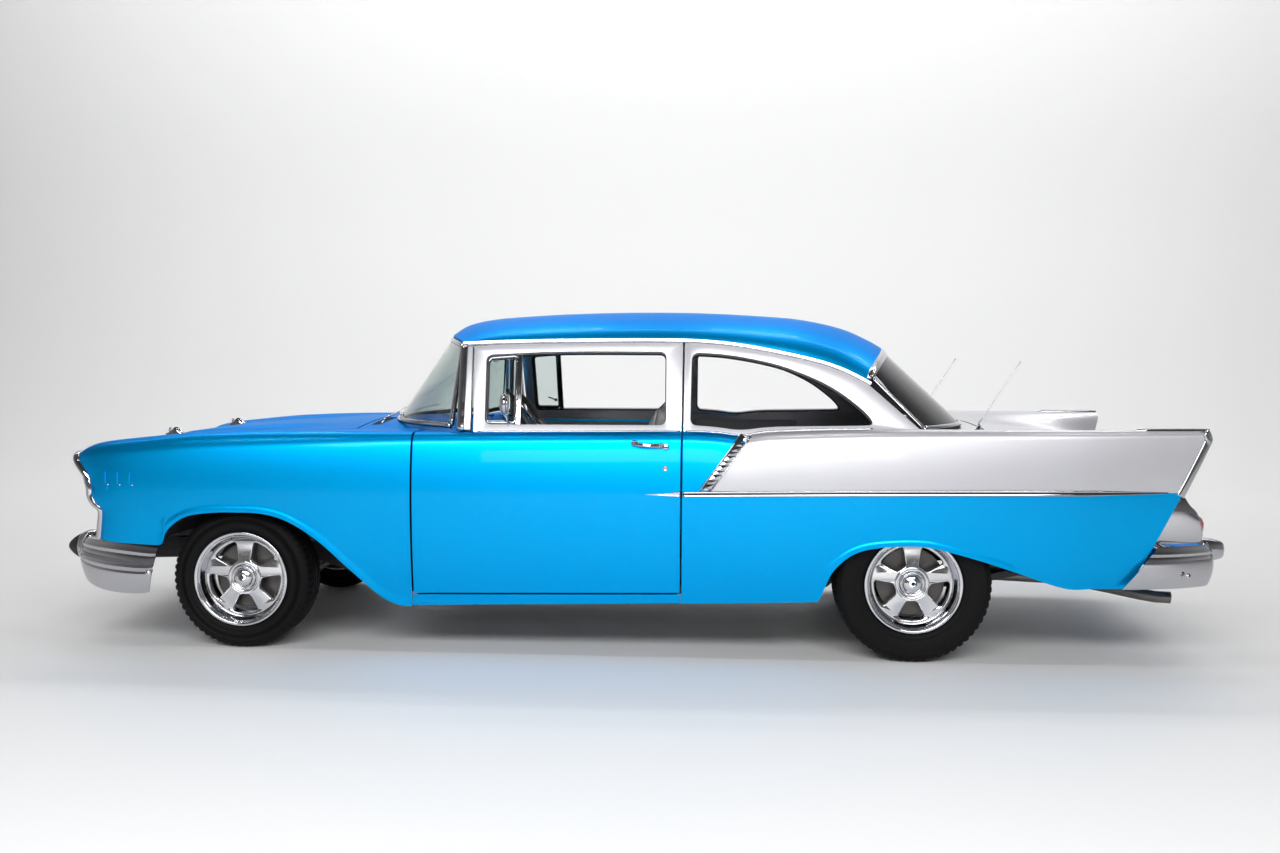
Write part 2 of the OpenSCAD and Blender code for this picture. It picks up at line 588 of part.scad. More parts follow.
kingpin_y = 655;
kingpin_low = 196;
kingpin_high = 444;
kingpin_r = 10;
steer_arm = 88;
module knuckle(side) {
    color(dark) on_side(side) translate([front_axle_x, kingpin_y, 0]) {
        difference() {
            union() {
                translate([0, 0, kingpin_low + 16]) cylinder(h = kingpin_high - kingpin_low - 22, r = 20);
                translate([-12, -14, 240]) cube([steer_arm + 12, 28, 22]);
            }
            translate([0, 0, kingpin_low]) cylinder(h = 40, r = kingpin_r + pin_fit);
            translate([0, 0, kingpin_high - 30]) cylinder(h = 40, r = kingpin_r + pin_fit);
        }
        translate([0, -10, front_tyre_r]) rotate([-90, 0, 0]) cylinder(h = 96, r = stub_r);
        translate([steer_arm, 0, 240]) cylinder(h = 22, r = 18);
    }
}
module track_rod() {
    color(dark) translate([front_axle_x + steer_arm, 0, 224]) {
        rotate([90, 0, 0]) cylinder(h = 2 * kingpin_y - 20, r = 9, center = true);
        for (s = [-1, 1]) translate([0, s * kingpin_y, -12]) cylinder(h = 24, r = 17);
    }
}

module front_suspension() {
    color(dark) pair() {
        // Lower and upper arms, each from the frame out to its ball joint, and the coil spring between them
        arm_to_joint(kingpin_low - 12, 92, 440);
        arm_to_joint(kingpin_high, 70, 400);
        translate([front_axle_x, 500, kingpin_low + 8]) cylinder(h = kingpin_high - kingpin_low - 8, r = 52);
        translate([front_axle_x, kingpin_y, kingpin_low + 8]) cylinder(h = 24, r = kingpin_r);
        translate([front_axle_x, kingpin_y, kingpin_high - 20]) cylinder(h = 22, r = kingpin_r);
    }
}
module arm_to_joint(z, half, y0) {
    translate([front_axle_x, 0, z]) linear_extrude(22)
        polygon([[-half, y0], [half, y0], [40, kingpin_y - 10], [24, kingpin_y + 22], [-24, kingpin_y + 22],
                 [-40, kingpin_y - 10]]);
}

module rear_axle() {
    color(dark) translate([rear_axle_x, 0, rear_tyre_r]) {
        rotate([90, 0, 0]) cylinder(h = 2 * rear_track - 140, r = 38, center = true);
        rotate([90, 0, 0]) cylinder(h = 2 * rear_track + 20, r = stub_r, center = true);
        sphere(r = 135);
        translate([-1400, 0, 20]) rotate([0, 90, 0]) cylinder(h = 1300, r = 38);
    }
    // Leaf springs under the axle, hung from the frame
    color(dark) pair() {
        translate([0, 530, 0]) rotate([90, 0, 0]) linear_extrude(60)
            polygon([[765, 318], [800, 300], [1000, 272], [1231, 262], [1500, 280], [1840, 352], [1880, 372],
                     [1870, 392], [1490, 306], [1231, 286], [1000, 298], [808, 328], [772, 342]]);
    }
}

// ---- frame, floor and drivetrain ----

rail_y = 372;
rail_w = 72;
rail_low = 205;
pipe_y = 300;
pipe_r = 26;
pad_h = 20;
module chassis_frame() {
    color(dark) {
        pair() translate([0, rail_y + rail_w, 0]) rotate([90, 0, 0]) linear_extrude(rail_w)
            polygon([[-2330, 330], [-2330, 420], [-1900, 440], [-1480, 440], [-1150, 330], [-1000, 298], [752, 298],
                     [860, 330], [1020, 470], [1440, 480], [1620, 438], [2180, 420], [2180, 340], [1640, 360],
                     [1430, 400], [1060, 392], [900, 250], [800, rail_low], [-1000, rail_low], [-1180, 236],
                     [-1480, 345], [-1900, 345]]);
        // Cross members as [x, z, length], with room for the exhaust pipes
        difference() {
            for (c = [[-2320, 340, 60], [-560, 225, 60], [740, 225, 60], [1560, 370, 60], [2120, 350, 60]])
                translate([c[0], -rail_y - 1, c[1]]) cube([c[2], 2 * rail_y + 2, 60]);
            pair() translate([-700, pipe_y, 240]) rotate([0, 90, 0]) cylinder(h = 1600, r = pipe_r + 10);
            pair() translate([1540, pipe_y - 40, 360]) cube([100, 80, 40]);
        }
        // Dropped member that carries the front suspension
        translate([-1790, -rail_y - rail_w + 8, 180]) cube([150, 2 * (rail_y + rail_w - 8), 70]);
        pair() translate([-1790, rail_y, 240]) cube([150, rail_w - 8, 110]);
        // Round pads for a jack
        for (x = [-900, 640]) pair() translate([x, rail_y + rail_w / 2, rail_low - pad_h]) cylinder(h = pad_h + 1, r = 32);
    }
}

floor_z = 304;
floor_t = 8;
floor_rear = 742;
module floor_pan() {
    color(dark) {
        // Floor with its hollow tunnel over the propeller shaft
        translate([-988, 0, floor_z]) rotate([90, 0, 90]) linear_extrude(floor_rear + 988)
            polygon([[-790, 0], [-100, 0], [-80, 106], [80, 106], [100, 0], [790, 0], [790, floor_t], [106, floor_t],
                     [86, 114], [-86, 114], [-106, floor_t], [-790, floor_t]]);
        // Boxed sills under the doors
        pair() between(function (u, v) sill_point(u, v, false), function (u, v) sill_point(u, v, true),
                       steps(6), steps(3), true);
        // Raised floor under the rear seat and the trunk
        difference() {
            translate([floor_rear, -560, floor_z]) cube([8, 1120, 208]);
            translate([floor_rear - 1, -50, floor_z - 1]) cube([10, 100, 107]);
            pair() translate([floor_rear - 1, 460, floor_z - 1]) cube([10, 80, 107]);
            pair() translate([floor_rear - 1, rail_y - 10, floor_z - 1]) cube([10, rail_w + 20, 60]);
        }
        translate([floor_rear, -560, 504]) cube([900, 1120, 8]);
        translate([1634, -560, 444]) cube([8, 1120, 68]);
        translate([1634, -560, 444]) cube([520, 1120, 8]);
    }
}
function sill_point(u, v, inner) =
    let (x = mix(-908, 236, u), z = mix(212 + 0.028 * (x + 908), door_low(x) - panel_gap, v))
    [x, inner ? 789 : side_y(x, z), z];

module arch_liner(x, z, r, y0, y1, a0, a1) {
    translate([x, y1, z]) rotate([90, 0, 0]) {
        linear_extrude(y1 - y0)
            polygon(concat([for (a = [a0:10:a1]) r * [cos(a), sin(a)]],
                           [for (a = [a1:-10:a0]) (r + 8) * [cos(a), sin(a)]]));
        translate([0, 0, y1 - y0]) linear_extrude(8) polygon([for (a = [a0:10:a1]) (r + 8) * [cos(a), sin(a)]]);
    }
}
module wheelhouses() {
    // Curved liners over the four wheels, each with its inner wall
    color(dark) pair() {
        arch_liner(front_axle_x, 290, 390, 456, 886, 30, 150);
        arch_liner(rear_axle_x, 330, 400, 588, 880, 10, 170);
    }
}

module engine() {
    color(dark) translate([-1900, -260, 368]) cube([720, 520, 480]);
}

// Round pipe swept through points [x, y, z]
module pipe(path, r, sides = 12) {
    n = len(path);
    function along(i) = unit(path[min(i + 1, n - 1)] - path[max(i - 1, 0)]);
    rings = [
        for (i = [0:n - 1])
            let (t = along(i), a = unit(cross(t, [0, 1, 0.2])), b = cross(t, a))
            for (k = [0:sides - 1]) path[i] + r * (cos(360 * k / sides) * a + sin(360 * k / sides) * b)
    ];
    walls = [
        for (i = [0:n - 2]) for (k = [0:sides - 1])
            let (m = (k + 1) % sides)
            each [[i * sides + k, (i + 1) * sides + m, i * sides + m],
                  [i * sides + k, (i + 1) * sides + k, (i + 1) * sides + m]]
    ];
    ends = [[for (k = [0:sides - 1]) k], [for (k = [sides - 1:-1:0]) (n - 1) * sides + k]];
    polyhedron(rings, concat(walls, ends));
}
module exhaust() {
    color(chrome) pair() {
        pipe([[-1050, 300, 240], [620, 300, 240], [800, 300, 248], [920, 300, 300], [1020, 300, 372], [1120, 300, 424],
              [1231, 300, 438], [1340, 300, 424], [1450, 300, 378], [1550, 300, 322], [1660, 300, 296],
              [1900, 300, 286], [2060, 324, 274], [2180, 396, 260], [2290, 470, 246], [2350, 496, 240],
              [2415, 502, 238]], pipe_r);
        translate([100, pipe_y, 243]) rotate([0, 90, 0]) cylinder(h = 480, r = 52);
    }
}

module fuel_tank() {
    color(dark) translate([1650, -255, 286]) cube([460, 510, 148]);
}

// ---- cabin ----

column_tilt = 36;
steering_centre = [-440, -380, 965];
column_r = 24;
shaft_r = 10;
module dashboard() {
    color(trim_grey) {
        translate([-965, -770, 770]) cube([200, 1540, 130]);
        // Steering column from the firewall, with the shaft that the wheel turns on
        translate(steering_centre) rotate([0, 90 - column_tilt, 0]) {
            translate([0, 0, -650]) cylinder(h = 610, r = column_r);
            translate([0, 0, -60]) cylinder(h = 60, r = shaft_r);
        }
    }
}

wheel_grip_r = 212;
module steering_wheel() {
    color(dark) translate(steering_centre) rotate([0, 90 - column_tilt, 0]) {
        rotate_extrude() translate([wheel_grip_r, 0]) circle(r = 11);
        difference() {
            translate([0, 0, -30]) cylinder(h = 50, r = 38);
            translate([0, 0, -31]) cylinder(h = 36, r = shaft_r + pin_fit);
        }
        for (k = [0:2]) rotate([0, 0, 120 * k + 60]) translate([30, -12, -6]) cube([wheel_grip_r - 32, 24, 12]);
    }
}

module bench(x, back_x, y, base, top, back_top, lean) {
    translate([x, -y, base]) cube([back_x - x + 60, 2 * y, top - base]);
    translate([back_x, -y, top - 40]) rotate([0, lean, 0]) cube([110, 2 * y, back_top - top + 40]);
}
module front_seat() {
    color(trim_grey) {
        bench(-410, 40, 660, 424, 600, 1100, 12);
        pair() translate([-380, 480, floor_z + floor_t]) cube([400, 60, 130]);
    }
}
module rear_seat() {
    color(trim_grey) bench(440, 900, 570, 516, 610, 880, 18);
}

chassis_frame();
floor_pan();
wheelhouses();
engine();
exhaust();
fuel_tank();
front_suspension();
knuckle(-1);  // knuckle_left
knuckle(1);  // knuckle_right
track_rod();
rear_axle();
tyre(front_axle_x, -front_track, front_tyre_r, front_tyre_w, rim_w[0]);  // tyre_front_left
tyre(front_axle_x, front_track, front_tyre_r, front_tyre_w, rim_w[0]);  // tyre_front_right
tyre(rear_axle_x, -rear_track, rear_tyre_r, rear_tyre_w, rim_w[1]);  // tyre_rear_left
tyre(rear_axle_x, rear_track, rear_tyre_r, rear_tyre_w, rim_w[1]);  // tyre_rear_right
rim(front_axle_x, -front_track, front_tyre_r, rim_w[0], -1);  // rim_front_left
rim(front_axle_x, front_track, front_tyre_r, rim_w[0], 1);  // rim_front_right
rim(rear_axle_x, -rear_track, rear_tyre_r, rim_w[1], -1);  // rim_rear_left
rim(rear_axle_x, rear_track, rear_tyre_r, rim_w[1], 1);  // rim_rear_right
fender(-1);  // fender_left
fender(1);  // fender_right
hood();
cowl();
grille();
headlamps();
front_bumper();
door(-1);  // door_left
door(1);  // door_right
vent_window(-1);  // vent_window_left
vent_window(1);  // vent_window_right
windshield();
windshield_frame();
roof();
rear_window();
quarter(-1);  // quarter_left
quarter(1);  // quarter_right
rear_deck();
trunk_lid();
tail_panel();
tail_lamps();
rear_bumper();
dashboard();
steering_wheel();
front_seat();
rear_seat();
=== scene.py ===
import math

import bmesh
import bpy
import numpy as np
from mathutils import Matrix, Vector


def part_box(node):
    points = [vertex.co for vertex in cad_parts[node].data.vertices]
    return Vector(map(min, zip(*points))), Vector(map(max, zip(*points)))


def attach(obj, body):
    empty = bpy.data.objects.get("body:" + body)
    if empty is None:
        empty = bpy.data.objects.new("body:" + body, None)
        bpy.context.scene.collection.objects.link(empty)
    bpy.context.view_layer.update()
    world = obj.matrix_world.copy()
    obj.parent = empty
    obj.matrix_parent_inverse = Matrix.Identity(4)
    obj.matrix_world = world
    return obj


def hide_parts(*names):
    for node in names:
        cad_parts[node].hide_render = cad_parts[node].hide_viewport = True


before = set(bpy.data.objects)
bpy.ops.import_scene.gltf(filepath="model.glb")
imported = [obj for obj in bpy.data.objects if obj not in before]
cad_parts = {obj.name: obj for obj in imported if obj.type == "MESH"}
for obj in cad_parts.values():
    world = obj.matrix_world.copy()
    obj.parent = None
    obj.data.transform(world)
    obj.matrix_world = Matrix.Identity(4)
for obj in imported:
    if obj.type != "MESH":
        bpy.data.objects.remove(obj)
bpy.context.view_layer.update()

# ---- Camera ----
# A studio camera on a tripod to the left of the car, level with the window sills, behind the front seats.
# It looks across the car, turned a little towards the nose and tipped slightly down.
lens = bpy.data.cameras.new("studio_lens")
lens.sensor_width = 36
lens.lens = 37.51
camera = bpy.data.objects.new("studio_camera", lens)
bpy.context.scene.collection.objects.link(camera)
camera.matrix_world = (
    Matrix.Translation((0.397, -6.525, 1.336))
    @ Matrix.Rotation(math.radians(3.379), 4, "Z")
    @ Matrix.Rotation(math.radians(90 - 3.405), 4, "X")
    @ Matrix.Rotation(math.radians(0.411), 4, "Z")
)
bpy.context.scene.camera = camera
bpy.context.scene.view_settings.view_transform = "Standard"

# ---- Studio ----
# A seamless white sweep: a painted floor that curves up into the back wall, under a large softbox
# and rows of light tubes. The room behind the camera is darker, which gives the body sides their depth.
def ramp(tree, source, low, high, start=0.0, stop=1.0):
    """Stretches a source that runs from start to stop so that it runs from low to high."""
    node = tree.nodes.new("ShaderNodeMapRange")
    for socket, value in (("From Min", start), ("From Max", stop), ("To Min", low), ("To Max", high)):
        node.inputs[socket].default_value = value
    tree.links.new(source, node.inputs["Value"])
    return node.outputs["Result"]


def studio_sweep():
    rows = [(-30.0, 0.0), (-12.0, 0.0), (6.0, 0.0)]
    for step in range(1, 17):
        a = math.radians(90 * step / 16)
        rows.append((6.0 + 4.0 * math.sin(a), 4.0 - 4.0 * math.cos(a)))
    rows.append((10.0, 14.0))
    points = [(x, y, z) for y, z in rows for x in (-30.0, 30.0)]
    faces = [(2 * k, 2 * k + 1, 2 * k + 3, 2 * k + 2) for k in range(len(rows) - 1)]
    mesh = bpy.data.meshes.new("studio_sweep")
    mesh.from_pydata(points, [], faces)
    mesh.shade_smooth()
    sweep = bpy.data.objects.new("studio_sweep", mesh)
    bpy.context.scene.collection.objects.link(sweep)
    paint = bpy.data.materials.new("matt_white_floor_paint")
    paint.use_nodes = True
    tree = paint.node_tree
    shader = tree.nodes["Principled BSDF"]
    shader.inputs["Roughness"].default_value = 0.55
    scuffs = tree.nodes.new("ShaderNodeTexNoise")
    scuffs.inputs["Scale"].default_value = 1.3
    tree.links.new(ramp(tree, scuffs.outputs["Fac"], 0.92, 0.95), shader.inputs["Base Color"])
    mesh.materials.append(paint)


def studio_air():
    world = bpy.data.worlds.new("studio_air")
    world.use_nodes = True
    tree = world.node_tree
    where = tree.nodes.new("ShaderNodeTexCoord")
    axes = tree.nodes.new("ShaderNodeSeparateXYZ")
    both = tree.nodes.new("ShaderNodeMath")
    both.operation = "MULTIPLY"
    tree.links.new(where.outputs["Generated"], axes.inputs["Vector"])
    tree.links.new(ramp(tree, axes.outputs["Y"], 0.28, 1.0, -0.9, 0.4), both.inputs[0])
    tree.links.new(ramp(tree, axes.outputs["Z"], 0.6, 0.12, 0.0, 0.7), both.inputs[1])
    tree.links.new(both.outputs["Value"], tree.nodes["Background"].inputs["Color"])
    tree.nodes["Background"].inputs["Strength"].default_value = 1.0
    bpy.context.scene.world = world


def studio_light(name, place, target, width, length, watts):
    light = bpy.data.lights.new(name, "AREA")
    light.shape = "RECTANGLE"
    light.size = width
    light.size_y = length
    light.energy = watts
    lamp = bpy.data.objects.new(name, light)
    lamp.location = place
    lamp.rotation_euler = (Vector(target) - Vector(place)).to_track_quat("-Z", "Y").to_euler()
    bpy.context.scene.collection.objects.link(lamp)


studio_sweep()
studio_air()
studio_light("key_softbox", (0.0, -7.6, 4.6), (0.0, -6.2, 0.0), 8.0, 2.4, 570)
studio_light("side_fill", (0.0, -10.0, 3.0), (0.0, 0.0, 0.6), 5.0, 1.0, 90)
studio_light("far_softbox", (0.0, 4.6, 6.6), (0.0, 0.5, 0.0), 12.0, 1.6, 40)
studio_light("wall_wash", (0.0, 4.5, 8.5), (0.0, 9.5, 2.5), 18.0, 1.6, 700)
for side in (-1, 1):
    for k, x in enumerate((-2.7, -0.9, 0.9, 2.7)):
        studio_light(f"tube_{k}_{side}", (x, side * 1.5, 3.8), (x, side * 1.2, 0.0), 0.9, 0.05, 6)

# ---- Frame and running gear ----
# Black painted rails and cross members, dark wheel liners, the exhaust and fuel tank, the sprung arms with
# their knuckles and track rod, and the live rear axle. They keep their built shape and get real finishes.
MM = 0.001


def finish(name, colour, rough, metallic=0.0, cell=20.0, colour_play=0.1, rough_play=0.1, bump=0.0,
           **sockets):
    """A finish with mottling of one cell size in millimetres, in its colour, its roughness and its relief."""
    material = bpy.data.materials.new(name)
    material.use_nodes = True
    tree = material.node_tree
    shader = tree.nodes["Principled BSDF"]
    where = tree.nodes.new("ShaderNodeTexCoord")
    mottle = tree.nodes.new("ShaderNodeTexNoise")
    mottle.inputs["Scale"].default_value = 1 / (cell * MM)
    mottle.inputs["Detail"].default_value = 4.0
    tree.links.new(where.outputs["Object"], mottle.inputs["Vector"])
    tones = tree.nodes.new("ShaderNodeMix")
    tones.data_type = "RGBA"
    for socket, factor in ((6, 1 - colour_play), (7, 1 + colour_play)):
        tones.inputs[socket].default_value = [min(1, c * factor) for c in colour] + [1]
    tree.links.new(mottle.outputs["Fac"], tones.inputs[0])
    tree.links.new(tones.outputs[2], shader.inputs["Base Color"])
    polish = ramp(tree, mottle.outputs["Fac"], max(0.0, rough * (1 - rough_play)),
                  min(1.0, rough * (1 + rough_play)), 0.3, 0.7)
    tree.links.new(polish, shader.inputs["Roughness"])
    if bump:
        relief = tree.nodes.new("ShaderNodeBump")
        relief.inputs["Distance"].default_value = bump * MM
        tree.links.new(mottle.outputs["Fac"], relief.inputs["Height"])
        tree.links.new(relief.outputs["Normal"], shader.inputs["Normal"])
    shader.inputs["Metallic"].default_value = metallic
    for socket, value in sockets.items():
        shader.inputs[socket.replace("_", " ").title().replace("Ior", "IOR")].default_value = value
    return material


def refinish(material, *nodes):
    """Gives the built nodes one finish, in place of their plain one."""
    for node in nodes:
        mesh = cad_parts[node].data
        mesh.materials.clear()
        mesh.materials.append(material)


chassis_black = finish("chassis_black", (0.018, 0.018, 0.02), 0.42, cell=60, rough_play=0.3, bump=0.3)
liner_black = finish("wheel_liner_black", (0.006, 0.006, 0.007), 0.85, cell=12, colour_play=0.2, bump=0.5)
exhaust_steel = finish("exhaust_steel", (0.2, 0.19, 0.18), 0.4, 1.0, cell=45, colour_play=0.35,
                       rough_play=0.4)
tank_zinc = finish("tank_zinc", (0.33, 0.34, 0.35), 0.45, 0.9, cell=25, colour_play=0.25, rough_play=0.3)
forged_steel = finish("forged_steel", (0.05, 0.052, 0.055), 0.45, 0.6, cell=14, colour_play=0.3, bump=0.4)
refinish(chassis_black, "chassis_frame")
refinish(liner_black, "wheelhouses")
refinish(exhaust_steel, "exhaust")
refinish(tank_zinc, "fuel_tank")
refinish(forged_steel, "front_suspension", "knuckle_left", "knuckle_right", "track_rod", "rear_axle")

# ---- Tyres ----
# Blackwall radials, narrow in front and wide behind. Each is one turned casing with a rounded sidewall,
# fine rings beside the bead and over the shoulder, three grooves round the tread and cut shoulder blocks.
WHEELS = {
    "front_left": ("wheel_front_left", -1),
    "front_right": ("wheel_front_right", 1),
    "rear_left": ("wheel_rear_left", -1),
    "rear_right": ("wheel_rear_right", 1),
}


def make(name, points, faces, material, body, slot, replaced=(), edge=0.0, angle=32, hard=False):
    """A piece from points in millimetres, with its sharp edges rounded by the given radius."""
    mesh = bpy.data.meshes.new(name)
    mesh.from_pydata((np.asarray(points, float) * MM).tolist(), [], [list(map(int, f)) for f in faces])
    mesh.validate()
    mesh.update()
    if hard:
        mesh.shade_flat()
    else:
        mesh.shade_smooth()
    mesh.materials.append(material)
    item = bpy.data.objects.new(name, mesh)
    bpy.context.scene.collection.objects.link(item)
    if edge:
        rounding = item.modifiers.new("rounded_edges", "BEVEL")
        rounding.width = edge * MM
        rounding.segments = 2
        rounding.limit_method = "ANGLE"
        rounding.angle_limit = math.radians(angle)
        rounding.harden_normals = True
    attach(item, body)
    if replaced:
        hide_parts(*replaced)
    return item


def join(*solids):
    """Several solids, each points and faces, as one."""
    points, faces, base = [], [], 0
    for solid_points, solid_faces in solids:
        points.append(np.asarray(solid_points, float))
        faces += [[base + i for i in f] for f in solid_faces]
        base += len(solid_points)
    return np.concatenate(points), faces


def mirrored(solid):
    points, faces = solid
    return np.asarray(points) * (1, -1, 1), [list(reversed(f)) for f in faces]


def on_side(solid, side):
    return solid if side > 0 else mirrored(solid)


def turned(profile, count=96, sag=None):
    """A solid turned about +Z from [radius, height] points, listed so that it closes on itself."""
    profile = np.asarray(profile, float)
    angles = np.arange(count) * 2 * math.pi / count
    rings = []
    for k, a in enumerate(angles):
        radius = profile[:, 0] + (0 if sag is None else sag(profile, k))
        rings.append(np.stack([radius * math.cos(a), radius * math.sin(a), profile[:, 1]], 1))
    size = len(profile)
    faces = []
    for k in range(count):
        m = (k + 1) % count
        for i in range(size):
            j = (i + 1) % size
            faces.append([k * size + i, m * size + i, m * size + j, k * size + j])
    return np.concatenate(rings), faces


def placed(solid, origin, forward, up=(0, 0, 1)):
    """The solid with its +Z turned to forward and moved to origin."""
    z = np.asarray(forward, float)
    z = z / np.linalg.norm(z)
    x = np.cross(np.asarray(up, float), z)
    if np.linalg.norm(x) < 1e-6:
        x = np.array([1.0, 0.0, 0.0])
    x = x / np.linalg.norm(x)
    y = np.cross(z, x)
    points, faces = solid
    return np.asarray(points) @ np.stack([x, y, z]) + np.asarray(origin, float), faces


def tyre_casing(radius, width, flange):
    half = width / 2
    side = [
        (192, flange - 16), (210, flange - 13), (213, half - 12), (219, half - 8), (226, half - 6.5),
        (229, half - 4), (232, half - 6), (240, half - 3), ((radius + 232) / 2 - 12, half - 0.4),
        (radius - 52, half), (radius - 34, half - 3), (radius - 31, half - 2.2), (radius - 28, half - 4.6),
        (radius - 18, half - 9), (radius - 10, half - 15), (radius - 4, half - 23), (radius - 1.6, half - 33),
    ]
    grooves = []
    for centre, depth in ((half * 0.48, 8), (half * 0.16, 8)):
        grooves += [(radius - 0.4, centre + 5), (radius - depth, centre + 3.6),
                    (radius - depth, centre - 3.6), (radius - 0.4, centre - 5)]
    upper = side + grooves
    lower = [(r, -h) for r, h in reversed(upper)]
    return upper + lower


def shoulder_cuts(radius, width):
    def sag(profile, k):
        across = np.abs(profile[:, 1])
        shoulder = (across > width * 0.27) & (across < width / 2 - 7) & (profile[:, 0] > radius - 22)
        return np.where(shoulder & (k % 3 == 0), -6.5, 0.0)
    return sag


tyre_rubber = finish("tyre_rubber", (0.006, 0.006, 0.0065), 0.62, cell=5, colour_play=0.25, rough_play=0.22,
                     bump=0.12, specular_ior_level=0.12)
for place, (body, out) in WHEELS.items():
    low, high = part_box(f"tyre_{place}")
    hub = (low + high) / 2 / MM
    tyre_r = (high.z - low.z) / 2 / MM
    tyre_w = (high.y - low.y) / MM
    casing = turned(tyre_casing(tyre_r, tyre_w, tyre_w / 2 - 1 if tyre_w < 220 else tyre_w / 2 - 8), 180,
                    shoulder_cuts(tyre_r, tyre_w))
    make(f"tyre_{place}_casing", *placed(casing, hub, (0, out, 0)), tyre_rubber, body, "tyre",
         [f"tyre_{place}"])

# ---- Wheels ----
# Polished cast wheels with a deep stepped lip, five flat spokes around bevelled windows, a domed centre
# cap with two turned rings, and the brake disc and drum face showing dark behind the windows.
def flat_plate(outline, holes, thick, edge):
    """A plate between z = 0 and thick, from an outline and holes of [x, y] points, with rounded edges."""
    curve = bpy.data.curves.new("plate", "CURVE")
    curve.dimensions = "2D"
    curve.fill_mode = "BOTH"
    curve.extrude = (thick / 2 - edge) * MM
    curve.bevel_depth = edge * MM
    curve.bevel_resolution = 2
    curve.offset = -edge * MM
    for loop in [outline, *holes]:
        spline = curve.splines.new("POLY")
        spline.points.add(len(loop) - 1)
        for point, (x, y) in zip(spline.points, loop):
            point.co = (x * MM, y * MM, 0, 1)
        spline.use_cyclic_u = True
    cutter = bpy.data.objects.new("plate", curve)
    bpy.context.scene.collection.objects.link(cutter)
    bpy.context.view_layer.update()
    mesh = bpy.data.meshes.new_from_object(cutter.evaluated_get(bpy.context.evaluated_depsgraph_get()))
    work = bmesh.new()
    work.from_mesh(mesh)
    bmesh.ops.remove_doubles(work, verts=work.verts, dist=0.00001)
    bmesh.ops.recalc_face_normals(work, faces=work.faces)
    work.verts.index_update()
    points = np.array([v.co for v in work.verts]) / MM + (0, 0, thick / 2)
    faces = [[v.index for v in f.verts] for f in work.faces]
    work.free()
    bpy.data.objects.remove(cutter)
    bpy.data.curves.remove(curve)
    bpy.data.meshes.remove(mesh)
    return points, faces


def rounded(corners, radius, steps=6):
    """An outline with each corner rounded by the given radius, as a flat curve between its two edges."""
    corners = [np.asarray(c, float) for c in corners]
    outline = []
    for k, corner in enumerate(corners):
        before, after = corners[k - 1], corners[(k + 1) % len(corners)]
        r = radius[k] if isinstance(radius, (list, tuple)) else radius
        start = corner + (before - corner) * min(0.5, r / np.linalg.norm(before - corner))
        end = corner + (after - corner) * min(0.5, r / np.linalg.norm(after - corner))
        for u in np.linspace(0, 1, steps):
            outline.append(start * (1 - u) ** 2 + corner * 2 * u * (1 - u) + end * u ** 2)
    return outline


def oblong(half_long, half_high, radius):
    """The outline of a plate with rounded corners, about its own middle."""
    return rounded([(-half_long, -half_high), (half_long, -half_high), (half_long, half_high),
                    (-half_long, half_high)], radius)


def ring_of(radius, count=96):
    return [(radius * math.cos(2 * math.pi * k / count), radius * math.sin(2 * math.pi * k / count))
            for k in range(count)]


def smooth(u):
    u = np.clip(u, 0, 1)
    return u * u * (3 - 2 * u)


def wheel_barrel(flange):
    return turned([
        (208, flange), (208, flange - 9), (191, flange - 12), (190, flange - 60), (178, flange - 72),
        (178, 62 - flange), (190, 42 - flange), (191, 12 - flange), (207, 9 - flange), (207, -flange),
        (198, -flange), (183, 14 - flange), (168, 62 - flange), (168, flange - 68), (172, flange - 60),
        (177, flange - 52), (177, flange - 46), (182.5, flange - 42), (182.5, flange - 30),
        (184.5, flange - 27), (184.5, flange - 12), (188, flange - 8), (192, flange - 6.5),
        (192, flange - 3), (198, flange + 1), (204, flange + 1.5),
    ], 144)


def spoke_disc(face):
    windows = []
    for k in range(5):
        a = math.radians(72 * k + 126)
        across, along = (-math.sin(a), math.cos(a)), (math.cos(a), math.sin(a))
        trapezoid = [(76, -23), (149, -59), (157, -34), (160, 0), (157, 34), (149, 59), (76, 23)]
        corners = [(r * along[0] + s * across[0], r * along[1] + s * across[1]) for r, s in trapezoid]
        windows.append(rounded(corners, [12, 14, 8, 8, 8, 14, 12]))
    points, faces = flat_plate(ring_of(174, 120), windows, 26, 4.5)
    radius = np.hypot(points[:, 0], points[:, 1])
    points[:, 2] += face - 26 + 9 * (1 - smooth((radius - 62) / 90)) + 5 * smooth((radius - 150) / 20)
    return points, faces


